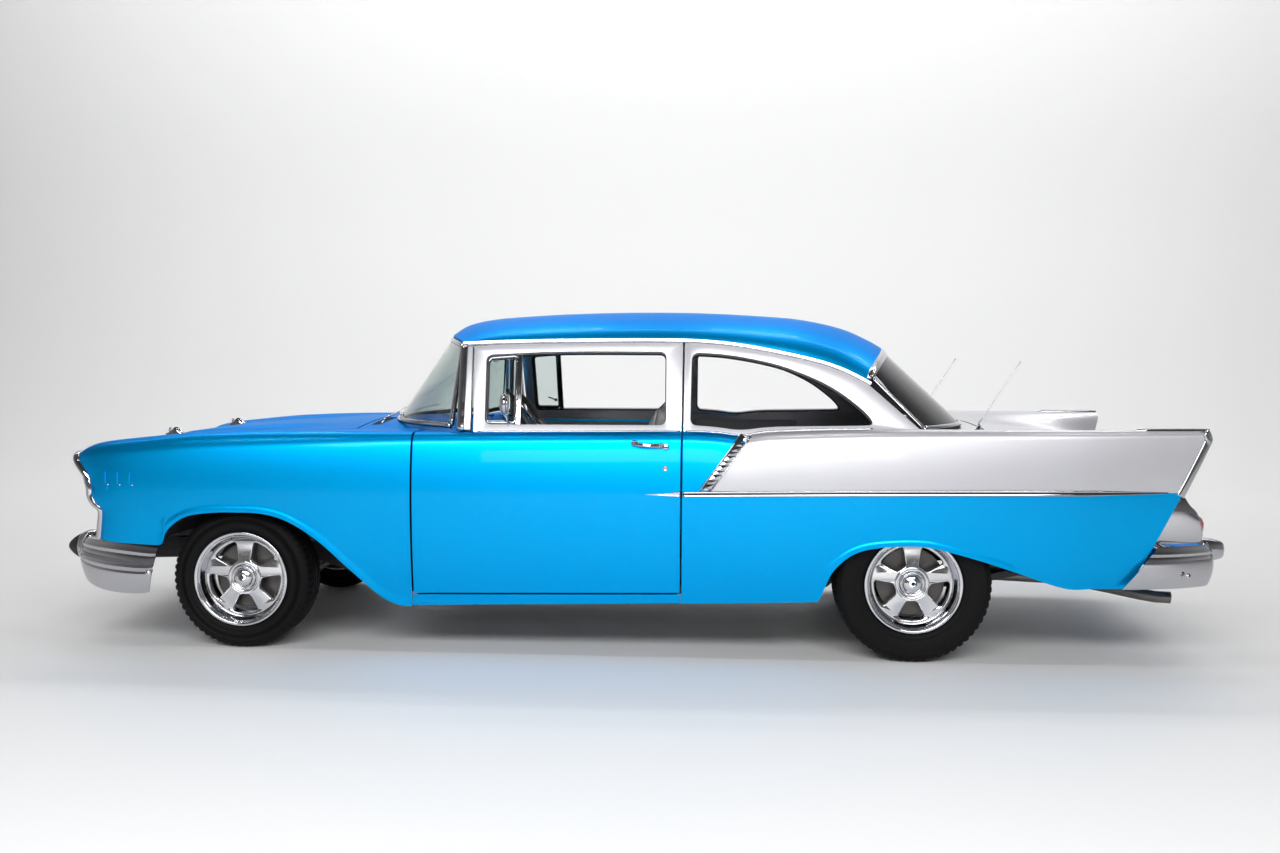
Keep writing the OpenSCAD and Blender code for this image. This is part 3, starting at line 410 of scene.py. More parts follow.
polished = finish("polished_aluminium", (0.66, 0.66, 0.68), 0.12, 1.0, cell=16, colour_play=0.05,
                  rough_play=0.55, bump=0.03)
brake_iron = finish("brake_iron", (0.12, 0.115, 0.11), 0.4, 0.8, cell=11, colour_play=0.3, rough_play=0.3)
for place, (body, out) in WHEELS.items():
    low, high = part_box(f"rim_{place}")
    hub = (low + high) / 2 / MM
    flange = 101.5 if place.startswith("front") else 114
    hub.y = (low.y + flange * MM if out < 0 else high.y - flange * MM) / MM
    hub.z = (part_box(f"tyre_{place}")[0].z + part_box(f"tyre_{place}")[1].z) / 2 / MM
    face = flange - 58
    cap = turned([(0, face - 8), (74, face - 8), (74, face + 6), (70, face + 11), (62, face + 13),
                  (60, face + 10.5), (57, face + 10.5), (55, face + 15), (50, face + 21), (47, face + 22),
                  (46, face + 19.5), (43, face + 19.5), (42, face + 24), (34, face + 31), (20, face + 35.5),
                  (0, face + 37)], 96)
    wheel = join(wheel_barrel(flange), spoke_disc(face), cap)
    make(f"rim_{place}_casting", *placed(wheel, hub, (0, out, 0)), polished, body, "polished_rim",
         [f"rim_{place}"])
    disc = turned([(60, face - 62), (140, face - 62), (141, face - 61), (141, face - 55), (146, face - 55),
                   (146, face - 74), (141, face - 74), (140, face - 69), (60, face - 69)], 96)
    nut = turned([(0, 0), (11, 0), (11, 10), (8, 14), (0, 15)], 6)
    nuts = [placed(nut, (58 * math.cos(a), 58 * math.sin(a), face - 64), (0, 0, 1))
            for a in np.radians(np.arange(5) * 72)]
    make(f"brake_disc_{place}", *placed(join(disc, *nuts), hub, (0, out, 0)), brake_iron, body, "engine_iron",
         edge=0.5)

# ---- Front fenders ----
# Pressed steel, from the bezel round the nose back to the door. The side tucks in below its widest line,
# rolls over the shoulder to the hood seam, and ends at the arch in a raised lip with a folded hem.
PANEL_T = 3.0
SEAM_Y = 642
PANEL_GAP = 8
WIDE_Z = 700
HANDS = ((-1, "left"), (1, "right"))
LOW_TUCK = 56
HIGH_TUCK = 24


def line(table, x):
    """The smooth curve through a table's points, level past its ends."""
    table = np.asarray(table, float)
    knots, values = table[:, 0], table[:, 1]
    last = len(knots) - 1
    before, after = np.maximum(np.arange(last + 1) - 1, 0), np.minimum(np.arange(last + 1) + 1, last)
    slopes = (values[after] - values[before]) / (knots[after] - knots[before])
    x = np.asarray(x, float)
    i = np.clip(np.searchsorted(knots, x, side="right") - 1, 0, last - 1)
    h = knots[i + 1] - knots[i]
    u = np.clip((x - knots[i]) / h, 0, 1)
    return ((2 * u ** 3 - 3 * u ** 2 + 1) * values[i] + (u ** 3 - 2 * u ** 2 + u) * slopes[i] * h
            + (3 * u ** 2 - 2 * u ** 3) * values[i + 1] + (u ** 3 - u ** 2) * slopes[i + 1] * h)


def faired(table, spread=60):
    """The line through a table with its bends eased over a length, as a panel beater's file leaves them."""
    first, last, pitch = table[0][0], table[-1][0], 4.0
    x = np.arange(first - 4 * spread, last + 4 * spread, pitch)
    inside = np.where(x < first, 2 * first - x, np.where(x > last, 2 * last - x, x))
    y = line(table, inside)
    y = np.where(x < first, 2 * line(table, first) - y, np.where(x > last, 2 * line(table, last) - y, y))
    reach = np.arange(-3 * spread, 3 * spread + pitch, pitch)
    weight = np.exp(-0.5 * (reach / spread) ** 2)
    eased = np.convolve(np.pad(y, len(reach) // 2, mode="edge"), weight / weight.sum(), mode="valid")[:len(x)]
    return lambda at: np.interp(at, x, eased)


half_width = faired([[-2445, 846], [-2410, 862], [-2350, 878], [-2250, 894], [-2050, 906], [-1690, 914],
                     [-900, 921], [-300, 926], [800, 928.5], [1300, 927], [1900, 916], [2440, 894]], 50)
crest_z = faired([[-2445, 848], [-2415, 872], [-2340, 898], [-2120, 926], [-1890, 948], [-1500, 962],
                  [-860, 964], [-110, 973], [260, 978], [400, 973], [490, 962], [580, 978], [700, 985],
                  [950, 994], [1400, 999], [2100, 1003], [2450, 1006]], 26)
seam_z = faired([[-2440, 790], [-2400, 824], [-2300, 862], [-2120, 898], [-1890, 924], [-1500, 948],
                 [-1230, 962], [-900, 966], [1200, 984], [1590, 968], [2000, 925], [2300, 882], [2430, 858]],
                50)
middle_z = faired([[-2440, 815], [-2400, 850], [-2300, 884], [-2120, 920], [-1890, 946], [-1500, 972],
                   [-1230, 988], [-1100, 992], [-900, 996], [1200, 996], [1530, 990], [1700, 980],
                   [2000, 950], [2300, 902], [2430, 872]], 50)
shoulder_w = faired([[-2440, 90], [-2100, 110], [-1500, 100], [-900, 62], [800, 56], [1400, 48], [2440, 34]],
                    60)


def shoulder_h(x):
    return shoulder_w(x) * 0.9


def lean_angle(x):
    return np.arctan(2 * HIGH_TUCK / (crest_z(x) - shoulder_h(x) - WIDE_Z) * 0.9)


def shoulder_z(x):
    return crest_z(x) - shoulder_h(x) * (1 - np.sin(lean_angle(x)))


def side_y(x, z):
    low = half_width(x) - LOW_TUCK * (np.maximum(WIDE_Z - z, 0) / 490) ** 2
    return low - HIGH_TUCK * (np.maximum(z - WIDE_Z, 0) / (shoulder_z(x) - WIDE_Z)) ** 2


def crest_y(x):
    return side_y(x, shoulder_z(x)) - shoulder_w(x) * np.cos(lean_angle(x))


def mix(a, b, u):
    return a + (b - a) * u


def top_z(x, y):
    a = np.abs(y)
    inner = seam_z(x) + (middle_z(x) - seam_z(x)) * (1 - np.minimum(a / SEAM_Y, 1) ** 2)
    outer = mix(seam_z(x), crest_z(x), smooth((a - SEAM_Y) / (crest_y(x) - SEAM_Y)))
    return np.where(a <= SEAM_Y, inner, outer)


def section(x, low, y_in, v):
    """The body's section: v goes up the side to 0.6, round the shoulder to 0.8, and over the top to 1."""
    z_side = mix(low, shoulder_z(x), np.clip(v / 0.6, 0, 1))
    a = mix(lean_angle(x), math.pi / 2, np.clip((v - 0.6) / 0.2, 0, 1))
    y_top = mix(crest_y(x), y_in, np.clip((v - 0.8) / 0.2, 0, 1))
    y = np.where(v < 0.6, side_y(x, z_side), np.where(v < 0.8, crest_y(x) + shoulder_w(x) * np.cos(a), y_top))
    z = np.where(v < 0.6, z_side,
                 np.where(v < 0.8, crest_z(x) - shoulder_h(x) * (1 - np.sin(a)), top_z(x, y_top)))
    return y, z


def skin(surface, us, vs, thick=PANEL_T, inner=None):
    """A closed sheet from a surface(u, v) of points at us by vs, each a count or a list, thick inwards."""
    rows = [np.linspace(0, 1, n) if isinstance(n, int) else n for n in (us, vs)]
    u, v = np.meshgrid(*rows, indexing="ij")
    outer = np.stack(surface(u, v), -1)
    if inner is None:
        du, dv = np.gradient(outer, axis=0), np.gradient(outer, axis=1)
        normal = np.cross(du, dv)
        normal /= np.maximum(np.linalg.norm(normal, axis=-1, keepdims=True), 1e-9)
        centre = np.array([outer[..., 0].mean(), 0, 500])
        if ((outer - centre) * normal).sum() < 0:
            normal = -normal
        back = outer - thick * normal
    else:
        back = np.stack(inner(u, v), -1)
    nu, nv = u.shape
    size = nu * nv
    i, j = np.meshgrid(np.arange(nu - 1), np.arange(nv - 1), indexing="ij")
    a, b, c, d = i * nv + j, i * nv + j + 1, (i + 1) * nv + j + 1, (i + 1) * nv + j
    front = np.stack([a, b, c, d], -1).reshape(-1, 4)
    rear = np.stack([d, c, b, a], -1).reshape(-1, 4) + size
    loop = ([k * nv for k in range(nu)] + [(nu - 1) * nv + k for k in range(1, nv)]
            + [k * nv + nv - 1 for k in range(nu - 2, -1, -1)] + [k for k in range(nv - 2, 0, -1)])
    rim = [[p, q, q + size, p + size] for p, q in zip(loop, loop[1:] + loop[:1])]
    points = np.concatenate([outer.reshape(-1, 3), back.reshape(-1, 3)])
    faces = front.tolist() + rear.tolist() + rim
    corner, across, far = points[front[:, 0]], points[front[:, 1]], points[front[:, 2]]
    toward = points[rear[:, 0]] - points[front[:, 3]]
    if (np.cross(across - corner, far - corner) * toward).sum() > 0:
        faces = [list(reversed(f)) for f in faces]
    return points, faces


def along_edge(table, x0, x1, pitch=18.0):
    """Places along x that are evenly spaced on the curve of a lower edge, as shares from x0 to x1."""
    x = np.linspace(x0, x1, 3000)
    run = np.concatenate([[0], np.cumsum(np.hypot(np.diff(x), np.diff(line(table, x))))])
    even = np.linspace(0, run[-1], int(run[-1] / pitch) + 1)
    return (np.interp(even, run, x) - x0) / (x1 - x0)


nose_line = [[478, -2321], [546, -2311], [594, -2306], [613, -2312], [640, -2340], [665, -2354], [703, -2357],
             [752, -2370], [796, -2406], [830, -2434], [848, -2442]]
fender_low = [[-2445, 478], [-2055, 461], [-2014, 468], [-1998, 512], [-1966, 550], [-1900, 590],
              [-1800, 607], [-1690, 611], [-1560, 606], [-1450, 573], [-1320, 490], [-1190, 370],
              [-1050, 247], [-975, 212], [-910, 209]]
FENDER_END = -919


def nose_shift(x, z):
    share = np.maximum(0, 1 - (x + 2445) / 330)
    return (line(nose_line, z) + 2445) * share ** 2


def arch_lip(x, z, table, start, end, proud=4.5, wide=17.0):
    """How far the raised lip round a wheel arch stands proud of the side, from its distance to the edge."""
    low = line(table, x)
    slope = (line(table, x + 2) - line(table, x - 2)) / 4
    away = np.maximum(z - low, 0) / np.sqrt(1 + slope ** 2)
    band = 1 - smooth((away - wide) / 11)
    return proud * band * smooth((x - start) / 24) * smooth((end - x) / 24)


def hemmed(y, v):
    """Rows below v = 0 turn inwards as a folded hem."""
    return y - 16 * np.maximum(-v, 0)


def fender_surface(u, v):
    x = mix(-2445, FENDER_END, u)
    y, z = section(x, line(fender_low, x), SEAM_Y + 4, np.maximum(v, 0))
    y = y + np.where(v < 0.6, arch_lip(x, z, fender_low, -2030, -930), 0)
    return x + nose_shift(x, z), hemmed(y, v), z


hem_rows = [-1, -0.5, -0.15]
side_rows = np.concatenate([np.linspace(0, 0.12, 9)[:-1], np.linspace(0.12, 0.6, 20)[:-1],
                            np.linspace(0.6, 0.8, 13)[:-1], np.linspace(0.8, 1, 9)])
azure = finish("azure_metallic", (0.0, 0.4, 0.88), 0.4, 0.95, cell=1.1, colour_play=0.16, rough_play=0.2,
               specular_ior_level=0.1, specular_tint=(0.0, 0.3, 0.8, 1.0), coat_weight=0.12,
               coat_roughness=0.02, coat_ior=1.5)
for side, hand in HANDS:
    fender = skin(fender_surface, along_edge(fender_low, -2445, FENDER_END),
                  np.concatenate([hem_rows, side_rows]))
    make(f"fender_{hand}_skin", *on_side(fender, side), azure, "car_body", "blue_paint", [f"fender_{hand}"],
         edge=1.6)
    # Three pressed louvre dents high on the nose, each with its small round rivet
    for k in range(3):
        x = -2268 + 56 * k
        y = side_y(x, 752)
        blade = flat_plate(oblong(4.5, 27, 5), [], 5, 1.6)
        rivet = turned([(0, 0), (5, 0), (4.4, 2.4), (0, 3.4)], 20)
        louvre = join(placed(blade, (x, y - 2.2, 752), (0, 1, 0)),
                      placed(rivet, (x + 6, y - 0.6, 708), (0, 1, 0)))
        make(f"fender_louvre_{hand}_{k}", *on_side(louvre, side), azure, "car_body", "blue_paint")

# ---- Hood ----
# One pressed panel with two low wind ridges, hung on curved arms under the cowl. A chrome sight with a
# finned rear half stands on the front of each ridge.
HOOD_FRONT, HOOD_REAR, RIDGE_Y = -2438, -1228, 405


def hood_surface(u, v):
    x, y = mix(HOOD_FRONT, HOOD_REAR, u), mix(4 - SEAM_Y, SEAM_Y - 4, v)
    across = smooth(1 - np.abs(np.abs(y) - RIDGE_Y) / 75)
    ridge = 12 * smooth((x + 2200) / 150) * across * smooth((-1300 - x) / 300)
    return x, y, top_z(x, y) + ridge


def hood_brace(middle):
    """A channel that stiffens the hood from below, centred on the given y."""
    def surface(u, v):
        x, y = mix(-2330, -1290, u), mix(middle - 26, middle + 26, v)
        return x, y, top_z(x, y) - 6 - 14 * np.sin(math.pi * v)
    return surface


def hinge_arms(pivot_x, pivot_z, arm_y, outline):
    arm = flat_plate(outline, [ring_of(8.05, 32)], 12, 1.5)
    eye = turned([(8.05, 0), (13, 0), (13, 12), (8.05, 12)], 32)
    both = join(arm, eye)
    points = np.stack([both[0][:, 0] + pivot_x, arm_y + 6 - both[0][:, 2], both[0][:, 1] + pivot_z], 1)
    right = (points, both[1])
    return join(right, mirrored(right))


chrome = finish("chrome_plate", (0.54, 0.54, 0.57), 0.07, 1.0, cell=30, colour_play=0.03, rough_play=0.6,
                bump=0.02)
hood = skin(hood_surface, 66, 88)
make("hood_skin", *hood, azure, "hood", "blue_paint", ["hood"], edge=1.6)
hood_arm = [(14, 4), (-14, 4), (-14, -10), (-64, -84), (-100, -84), (-106, -62), (-118, 6), (-150, 10),
            (-330, -4), (-330, -14), (-142, 2), (-128, -60), (-112, -106), (-52, -104), (14, -8)]
make("hood_hinges", *hinge_arms(-1110, 946, 560, hood_arm), chassis_black, "hood", "frame_steel")
braces = [skin(hood_brace(y), 30, 9, 1.5) for y in (-520, 0, 520)]
make("hood_braces", *join(*braces), azure, "hood", "blue_paint")
for side, hand in HANDS:
    # Sight: a boat-shaped base with a raised ring nose and a long tapering tail
    z_ridge = float(top_z(-2140, RIDGE_Y)) + 3
    rows = []
    for share in np.linspace(0, 1, 25):
        x = mix(-2196, -2052, share)
        width = 17 * math.sin(math.pi * min(1, 0.16 + 0.84 * share)) ** 0.7 + 1.5
        height = 9 + 34 * math.exp(-((share - 0.34) / 0.2) ** 2)
        rows.append([(x, RIDGE_Y + width * math.cos(a), z_ridge - 4 + height * max(0.0, math.sin(a)) ** 0.8)
                     for a in np.linspace(0, math.pi, 17)])
    rows = np.array(rows)
    bottom = rows.copy()
    bottom[..., 2] = z_ridge - 8
    sight = skin(lambda u, v: tuple(rows[..., k] for k in range(3)), 25, 17,
                 inner=lambda u, v: tuple(bottom[..., k] for k in range(3)))
    ring_section = [(9 + 3.2 * math.cos(a), 3.2 * math.sin(a)) for a in np.linspace(0, 2 * math.pi, 13)[:-1]]
    ring = placed(turned(ring_section, 40), (-2178, RIDGE_Y, z_ridge + 24), (-1, 0, 0.1))
    make(f"hood_sight_{hand}", *on_side(join(sight, ring), side), chrome, "hood", "chrome")

# ---- Cowl ----
# The panel between hood and windshield dips behind the hood's rear edge, where the wipers park and a grille
# of slots lets air in. The slots are thin near-black plates laid on the closed panel: painted shade standing
# in for the openings. Under it are the firewall, the door posts and the hood's hinge brackets.
def cowl_surface(u, v):
    x = mix(HOOD_REAR + PANEL_GAP, -735, u)
    half = np.where(x < FENDER_END + PANEL_GAP, SEAM_Y - 4, 792)
    y = mix(-half, half, v)
    dip = smooth((x + 1060) / 160) * smooth(1.6 - np.abs(y) / 500)
    return x, y, top_z(x, y) - 1 - 60 * dip


def box_piece(low, high, round_by=3.0):
    """A block with rounded edges between two corners."""
    low, high = np.minimum(low, high), np.maximum(low, high)
    r = min(round_by, *(0.45 * (high - low)))
    work = bmesh.new()
    bmesh.ops.create_cube(work, size=1.0)
    for vert in work.verts:
        vert.co = Vector([(l + h) / 2 + c * (h - l) for c, l, h in zip(vert.co, low, high)])
    bmesh.ops.bevel(work, geom=work.edges[:], offset=float(r), segments=3, profile=0.5, affect="EDGES")
    work.verts.index_update()
    points = np.array([v.co for v in work.verts])
    faces = [[v.index for v in f.verts] for f in work.faces]
    work.free()
    return points, faces


def box_pair(low, high, round_by):
    """The same block on each side of the car, from its two corners on the right."""
    low, high = np.asarray(low), np.asarray(high)
    return [box_piece(low * (1, s, 1), high * (1, s, 1), round_by) for s in (-1, 1)]


split = (FENDER_END + PANEL_GAP - HOOD_REAR - PANEL_GAP) / (-735 - HOOD_REAR - PANEL_GAP)
cowl_us = np.concatenate([np.linspace(0, split - 0.001, 22), np.linspace(split + 0.001, 1, 14)])
cowl = skin(cowl_surface, cowl_us, 60)
make("cowl_top", *cowl, azure, "car_body", "blue_paint", ["cowl"], edge=1.2, angle=50)
posts = box_pair((-975, 790, 262), (-929, 868, 902), 4)
brackets = box_pair((-1130, 569, 856), (-1090, 577, 962), 2)
hinge_pin = turned([(0, -12), (7.2, -12), (8, -11), (8, 11), (7.2, 12), (0, 12)], 32)
pins = [placed(hinge_pin, (-1110, s * 560, 946), (0, 1, 0)) for s in (-1, 1)]
rails = box_pair((-1110, 569, 856), (-1000, 577, 876), 2)
firewall = box_piece((-1010, -790, 318), (-990, 790, 858), 4)
make("cowl_posts_and_firewall", *join(firewall, *posts, *brackets, *pins, *rails), chassis_black, "car_body",
     "frame_steel")
# Each slot is a near-black plate on the panel, painted shade where the open slot would be
slot_shades = []
for s in (-1, 1):
    for k in range(14):
        x, y = -1168, s * (150 + 26 * k)
        slot_shades.append(placed(flat_plate(oblong(7, 26, 6), [], 1.6, 0.5),
                            (x, y, top_z(x, y) - 1.4), (0.03, 0, 1), (1, 0, 0)))
# Near-black for the black trim, and also painted shade for the cowl's air slots and behind the grille
black_trim_and_opening_shade = finish("black_trim_and_opening_shade", (0.004, 0.004, 0.004), 0.7, cell=6)
make("cowl_air_slot_shades", *join(*slot_shades), black_trim_and_opening_shade, "car_body", "black_plastic")

# ---- Doors ----
# Two long doors, each an outer skin folded round an inner shell, with a flat upper frame that leans in with
# the glass. Inside are a vinyl card with a pleated panel, an armrest, a window crank and a pull.
BELT_Y, BELT_Z, SIDE_LEAN, FRAME_T = 843, 962, math.radians(20.2), 38
DOOR_X0, DOOR_X1, DOOR_INNER_Y = -911, 239, 812
rail_line = [[-730, 1343], [-612, 1350], [-300, 1359], [225, 1364], [400, 1355], [573, 1331], [833, 1276],
             [950, 1234], [1035, 1190]]
rail_z = faired(rail_line, 24)


def lofted(rings):
    """A closed solid through rings of points that all have the same number of points."""
    rings = np.asarray(rings, float)
    count, size = rings.shape[:2]
    faces = []
    for k in range(count - 1):
        for i in range(size):
            j = (i + 1) % size
            faces.append([k * size + i, k * size + j, (k + 1) * size + j, (k + 1) * size + i])
    faces.append(list(range(size - 1, -1, -1)))
    faces.append([(count - 1) * size + i for i in range(size)])
    return rings.reshape(-1, 3), faces


def tube(path, radius, count=12, tip=1.0):
    """A round rod along points, from radius at its start to tip times that at its end, with closed ends."""
    path = np.asarray(path, float)
    along = np.gradient(path, axis=0)
    along /= np.linalg.norm(along, axis=1, keepdims=True)
    reference = np.array([0.02, 1.0, 0.13])
    side_way = np.cross(along, reference)
    side_way /= np.linalg.norm(side_way, axis=1, keepdims=True)
    up_way = np.cross(along, side_way)
    radii = radius * np.linspace(1, tip, len(path))
    angles = np.arange(count) * 2 * math.pi / count
    points = (path[:, None] + radii[:, None, None] * (np.cos(angles)[None, :, None] * side_way[:, None]
                                                     + np.sin(angles)[None, :, None] * up_way[:, None]))
    return lofted(points)


def lean_y(z):
    return BELT_Y - (z - BELT_Z) * math.tan(SIDE_LEAN)


def in_window_plane(x, z, sink=0.0):
    """A point of the right-hand side windows' leaning plane, sunk inwards from its outer face."""
    return np.array([x, lean_y(z) - sink * math.cos(SIDE_LEAN), z - sink * math.sin(SIDE_LEAN)])


def window_plate(outline, holes, thick, sink=0.0, edge=2.0):
    """A flat piece in the side windows' plane, from outlines of [x, z] points."""
    def lifted(loop):
        return [(x, (z - BELT_Z) / math.cos(SIDE_LEAN)) for x, z in loop]
    points, faces = flat_plate(lifted(outline), [lifted(hole) for hole in holes], thick, edge)
    height, depth = points[:, 1], points[:, 2] + sink
    y = BELT_Y - height * math.sin(SIDE_LEAN) - depth * math.cos(SIDE_LEAN)
    z = BELT_Z + height * math.cos(SIDE_LEAN) - depth * math.sin(SIDE_LEAN)
    return np.stack([points[:, 0], y, z], 1), [list(reversed(f)) for f in faces]


def door_low(x):
    return mix(268, 290, (x - DOOR_X0) / (DOOR_X1 - DOOR_X0))


def door_outer(u, v):
    x = mix(DOOR_X0, DOOR_X1, u)
    y, z = section(x, door_low(x), DOOR_INNER_Y, v)
    return x, y, z


def door_inner(u, v):
    x = mix(DOOR_X0 + 2, DOOR_X1 - 30, u)
    return x, np.full_like(x, DOOR_INNER_Y), mix(door_low(x), 944, v)


def frame_outline(back):
    top = [(x, rail_z(x) - 8) for x in np.linspace(-612, 205, 26)]
    return [(-658, 940), (-676, 1328), *top, (DOOR_X1 - back, rail_z(DOOR_X1) - 8), (DOOR_X1 - back, 940)]


door_rows = np.concatenate([np.linspace(0, 0.6, 24)[:-1], np.linspace(0.6, 0.8, 14)[:-1],
                            np.linspace(0.8, 1, 8)])
door_opening = rounded([(-611, 1000), (-621, 1298), (-300, 1316), (166, 1317), (171, 1004)],
                       [30, 30, 200, 30, 30], 8)
silver = finish("silver_metallic", (0.66, 0.66, 0.7), 0.36, 0.6, cell=1.1, colour_play=0.1, rough_play=0.2,
                coat_weight=0.5, coat_roughness=0.02, coat_ior=1.5)
grey_vinyl = finish("grey_vinyl", (0.27, 0.27, 0.285), 0.5, cell=1.6, colour_play=0.12, rough_play=0.15,
                    bump=0.12)
trim_grey = finish("trim_grey", (0.1, 0.102, 0.11), 0.5, cell=2.2, colour_play=0.12, rough_play=0.2, bump=0.1)
rubber = finish("weatherstrip_rubber", (0.012, 0.012, 0.012), 0.6, cell=4, colour_play=0.2, bump=0.08)
for side, hand in HANDS:
    body = f"door_{hand}"
    shell = skin(door_outer, 58, door_rows, inner=door_inner)
    make(f"door_{hand}_shell", *on_side(shell, side), azure, body, "blue_paint", [f"door_{hand}"], edge=2.0)
    upper = join(window_plate(frame_outline(0), [door_opening], 12, 0),
                 window_plate(frame_outline(26), [door_opening], 26, 12))
    make(f"door_{hand}_window_frame", *on_side(upper, side), silver, body, "silver_paint")
    # Card of pleated vinyl with its armrest, window crank and pull
    card_pleats = []
    for k in range(12):
        x0 = -640 + 62 * k
        card_pleats.append(box_piece((x0, 803, 470), (x0 + 58, 812, 700), 4))
    card = join(box_piece((-860, 806, 330), (150, 813, 925), 3), *card_pleats,
                box_piece((-420, 752, 716), (-60, 808, 752), 14))
    make(f"door_{hand}_card", *on_side(card, side), grey_vinyl, body, "grey_vinyl")
    crank = join(placed(turned([(0, 0), (20, 0), (19, 8), (12, 12), (0, 13)], 32), (-520, 806, 780),
                        (0, -1, 0)), tube([(-520, 790, 780), (-500, 786, 752), (-470, 784, 722)], 5),
                 placed(turned([(0, 0), (9, 0), (11, 12), (8, 26), (0, 28)], 24), (-470, 790, 722),
                        (0, -1, 0)), placed(turned([(0, 0), (17, 0), (16, 8), (0, 11)], 32),
                                            (-700, 806, 800), (0, -1, 0)),
                 tube([(-700, 794, 800), (-660, 790, 800), (-622, 790, 796)], 5))
    make(f"door_{hand}_crank_and_pull", *on_side(crank, side), chrome, body, "chrome")
    seal = tube([(DOOR_X0 + 16, 808, z) for z in np.linspace(300, 930, 20)], 4, 8)
    make(f"door_{hand}_seal", *on_side(seal, side), rubber, body, "black_rubber")

# ---- Rear quarters ----
# One long panel from the door to the fin's tip, blue below the spear and ahead of the slanted sash and
# silver above, with a raised wheel lip. It carries the leaning frame of the rear side window. The blue sill
# below the door runs from the fender to the quarter.
QUARTER_FRONT, QUARTER_END = 246.5, 2440
quarter_low = [[240, 243], [700, 256], [800, 260], [829, 268], [852, 325], [875, 380], [905, 420],
               [943, 455], [981, 478], [1030, 494], [1107, 505], [1205, 510], [1281, 506], [1357, 490],
               [1508, 449], [1655, 401], [1805, 350], [1880, 334], [2110, 337]]
tail_line = [[337, 2112], [382, 2140], [517, 2211], [733, 2317], [940, 2420], [976, 2436], [995, 2437],
             [1006, 2425]]
SPEAR = [[91, 714], [1155, 733], [2330, 747]]


def spear_z(x):
    return line(SPEAR, x)


def tail_shift(x, z):
    return (line(tail_line, z) - QUARTER_END) * np.maximum(0, (x - 1880) / (QUARTER_END - 1880))


def quarter_in(x):
    return np.where(x < 1560, mix(790, SEAM_Y + 4, smooth((x - 1240) / 320)), SEAM_Y + 4)


def quarter_lower(u, v):
    x = mix(QUARTER_FRONT, QUARTER_END, u)
    low = line(quarter_low, x)
    z = mix(low, spear_z(x), np.maximum(v, 0))
    y = side_y(x, z) + arch_lip(x, z, quarter_low, 806, 1640)
    return x + tail_shift(x, z), hemmed(y, v), z


def sash_x(v):
    """Where the slanted sash crosses the section: it climbs from the spear to the belt."""
    return 343 + 166 * np.clip(v / 0.6, 0, 1)


def quarter_ahead(u, v):
    x = mix(QUARTER_FRONT, sash_x(v), u)
    y, z = section(x, spear_z(x), quarter_in(x), v)
    return x, y, z


def quarter_above(u, v):
    x = mix(sash_x(v), QUARTER_END, u)
    y, z = section(x, spear_z(x), quarter_in(x), v)
    return x + tail_shift(x, z), y, z


def sill_surface(u, v):
    x = mix(-916, 244, u)
    z = mix(213 + 0.028 * (x + 908), door_low(mix(-908, 236, u)) - 7, v)
    return x, side_y(x, z) + 1.5, z


quarter_frame = [(QUARTER_FRONT, 930), (1290, 930), (1262, 985),
                 *[(x, rail_z(x) - 5) for x in np.linspace(1035, QUARTER_FRONT, 34)]]
quarter_opening = rounded([(276, 1006), (279, 1314), (400, 1310), (530, 1291), (659, 1263), (800, 1211),
                           (900, 1160), (990, 1093), (1040, 1046), (1056, 1012), (900, 1008), (600, 1002),
                           (490, 984), (400, 998)], [30, 34, 60, 60, 60, 60, 60, 60, 34, 34, 100, 100, 60,
                                                     60], 7)
for side, hand in HANDS:
    lower_rows = np.concatenate([hem_rows, np.linspace(0, 0.2, 12)[:-1], np.linspace(0.2, 1, 24)])
    lower = skin(quarter_lower, along_edge(quarter_low, QUARTER_FRONT, QUARTER_END), lower_rows)
    make(f"quarter_{hand}_lower", *on_side(lower, side), azure, "car_body", "blue_paint",
         [f"quarter_{hand}"], edge=1.4)
    ahead = skin(quarter_ahead, 22, side_rows)
    make(f"quarter_{hand}_ahead_of_sash", *on_side(ahead, side), azure, "car_body", "blue_paint", edge=1.4)
    above = skin(quarter_above, 100, side_rows)
    make(f"quarter_{hand}_fin", *on_side(above, side), silver, "car_body", "silver_paint", edge=1.4)
    surround = window_plate(quarter_frame, [quarter_opening], FRAME_T)
    make(f"quarter_{hand}_window_frame", *on_side(surround, side), silver, "car_body", "silver_paint")
    inner_wall = join(box_piece((262, 800, 300), (822, 814, 940), 4),
                      *[box_piece((300 + 62 * k, 792, 560), (358 + 62 * k, 802, 800), 4) for k in range(8)])
    make(f"quarter_{hand}_inner_trim", *on_side(inner_wall, side), grey_vinyl, "car_body", "grey_vinyl")
    sill = skin(sill_surface, 50, 12, 2)
    make(f"sill_{hand}", *on_side(sill, side), azure, "car_body", "blue_paint", edge=1.0)

# ---- Rear deck and trunk lid ----
# The silver panel under the rear glass, the lid that rolls over the tail and down to its lock, and the
# blue lower tail panel. The lid swings on curved arms under the deck.
TRUNK_FRONT, TRUNK_REAR = 1594, 2372


def tail_bow(y):
    return 75 * (y / 836) ** 2


def trunk_surface(u, v):
    y = mix(4 - SEAM_Y, SEAM_Y - 4, v)
    x_top = mix(TRUNK_FRONT, TRUNK_REAR, np.minimum(u / 0.78, 1))
    down = np.clip((u - 0.78) / 0.22, 0, 1)
    x_rear = TRUNK_REAR + 26 * np.sin(math.pi / 2 * np.minimum(1, down * 4)) - 88 * np.maximum(0, down - 0.2)
    z_rear = top_z(np.full_like(y, TRUNK_REAR), y) - 250 * down - 10 * smooth(down * 4)
    x = np.where(u < 0.78, x_top - tail_bow(y) * np.minimum(u / 0.78, 1) ** 3, x_rear - tail_bow(y))
    return x, y, np.where(u < 0.78, top_z(x_top, y), z_rear)


def deck_surface(u, v):
    share = mix(-1, 1, v)
    x = mix(1500 - 290 * np.abs(share) ** 3, TRUNK_FRONT - PANEL_GAP, u)
    y = share * (quarter_in(x) - 4)
    return x, y, top_z(x, y) - 2


def tail_panel_surface(u, v):
    y, z = mix(-834, 834, v), mix(352, 594, u)
    return 2318 - tail_bow(y) - (594 - z) * 0.4, y, z


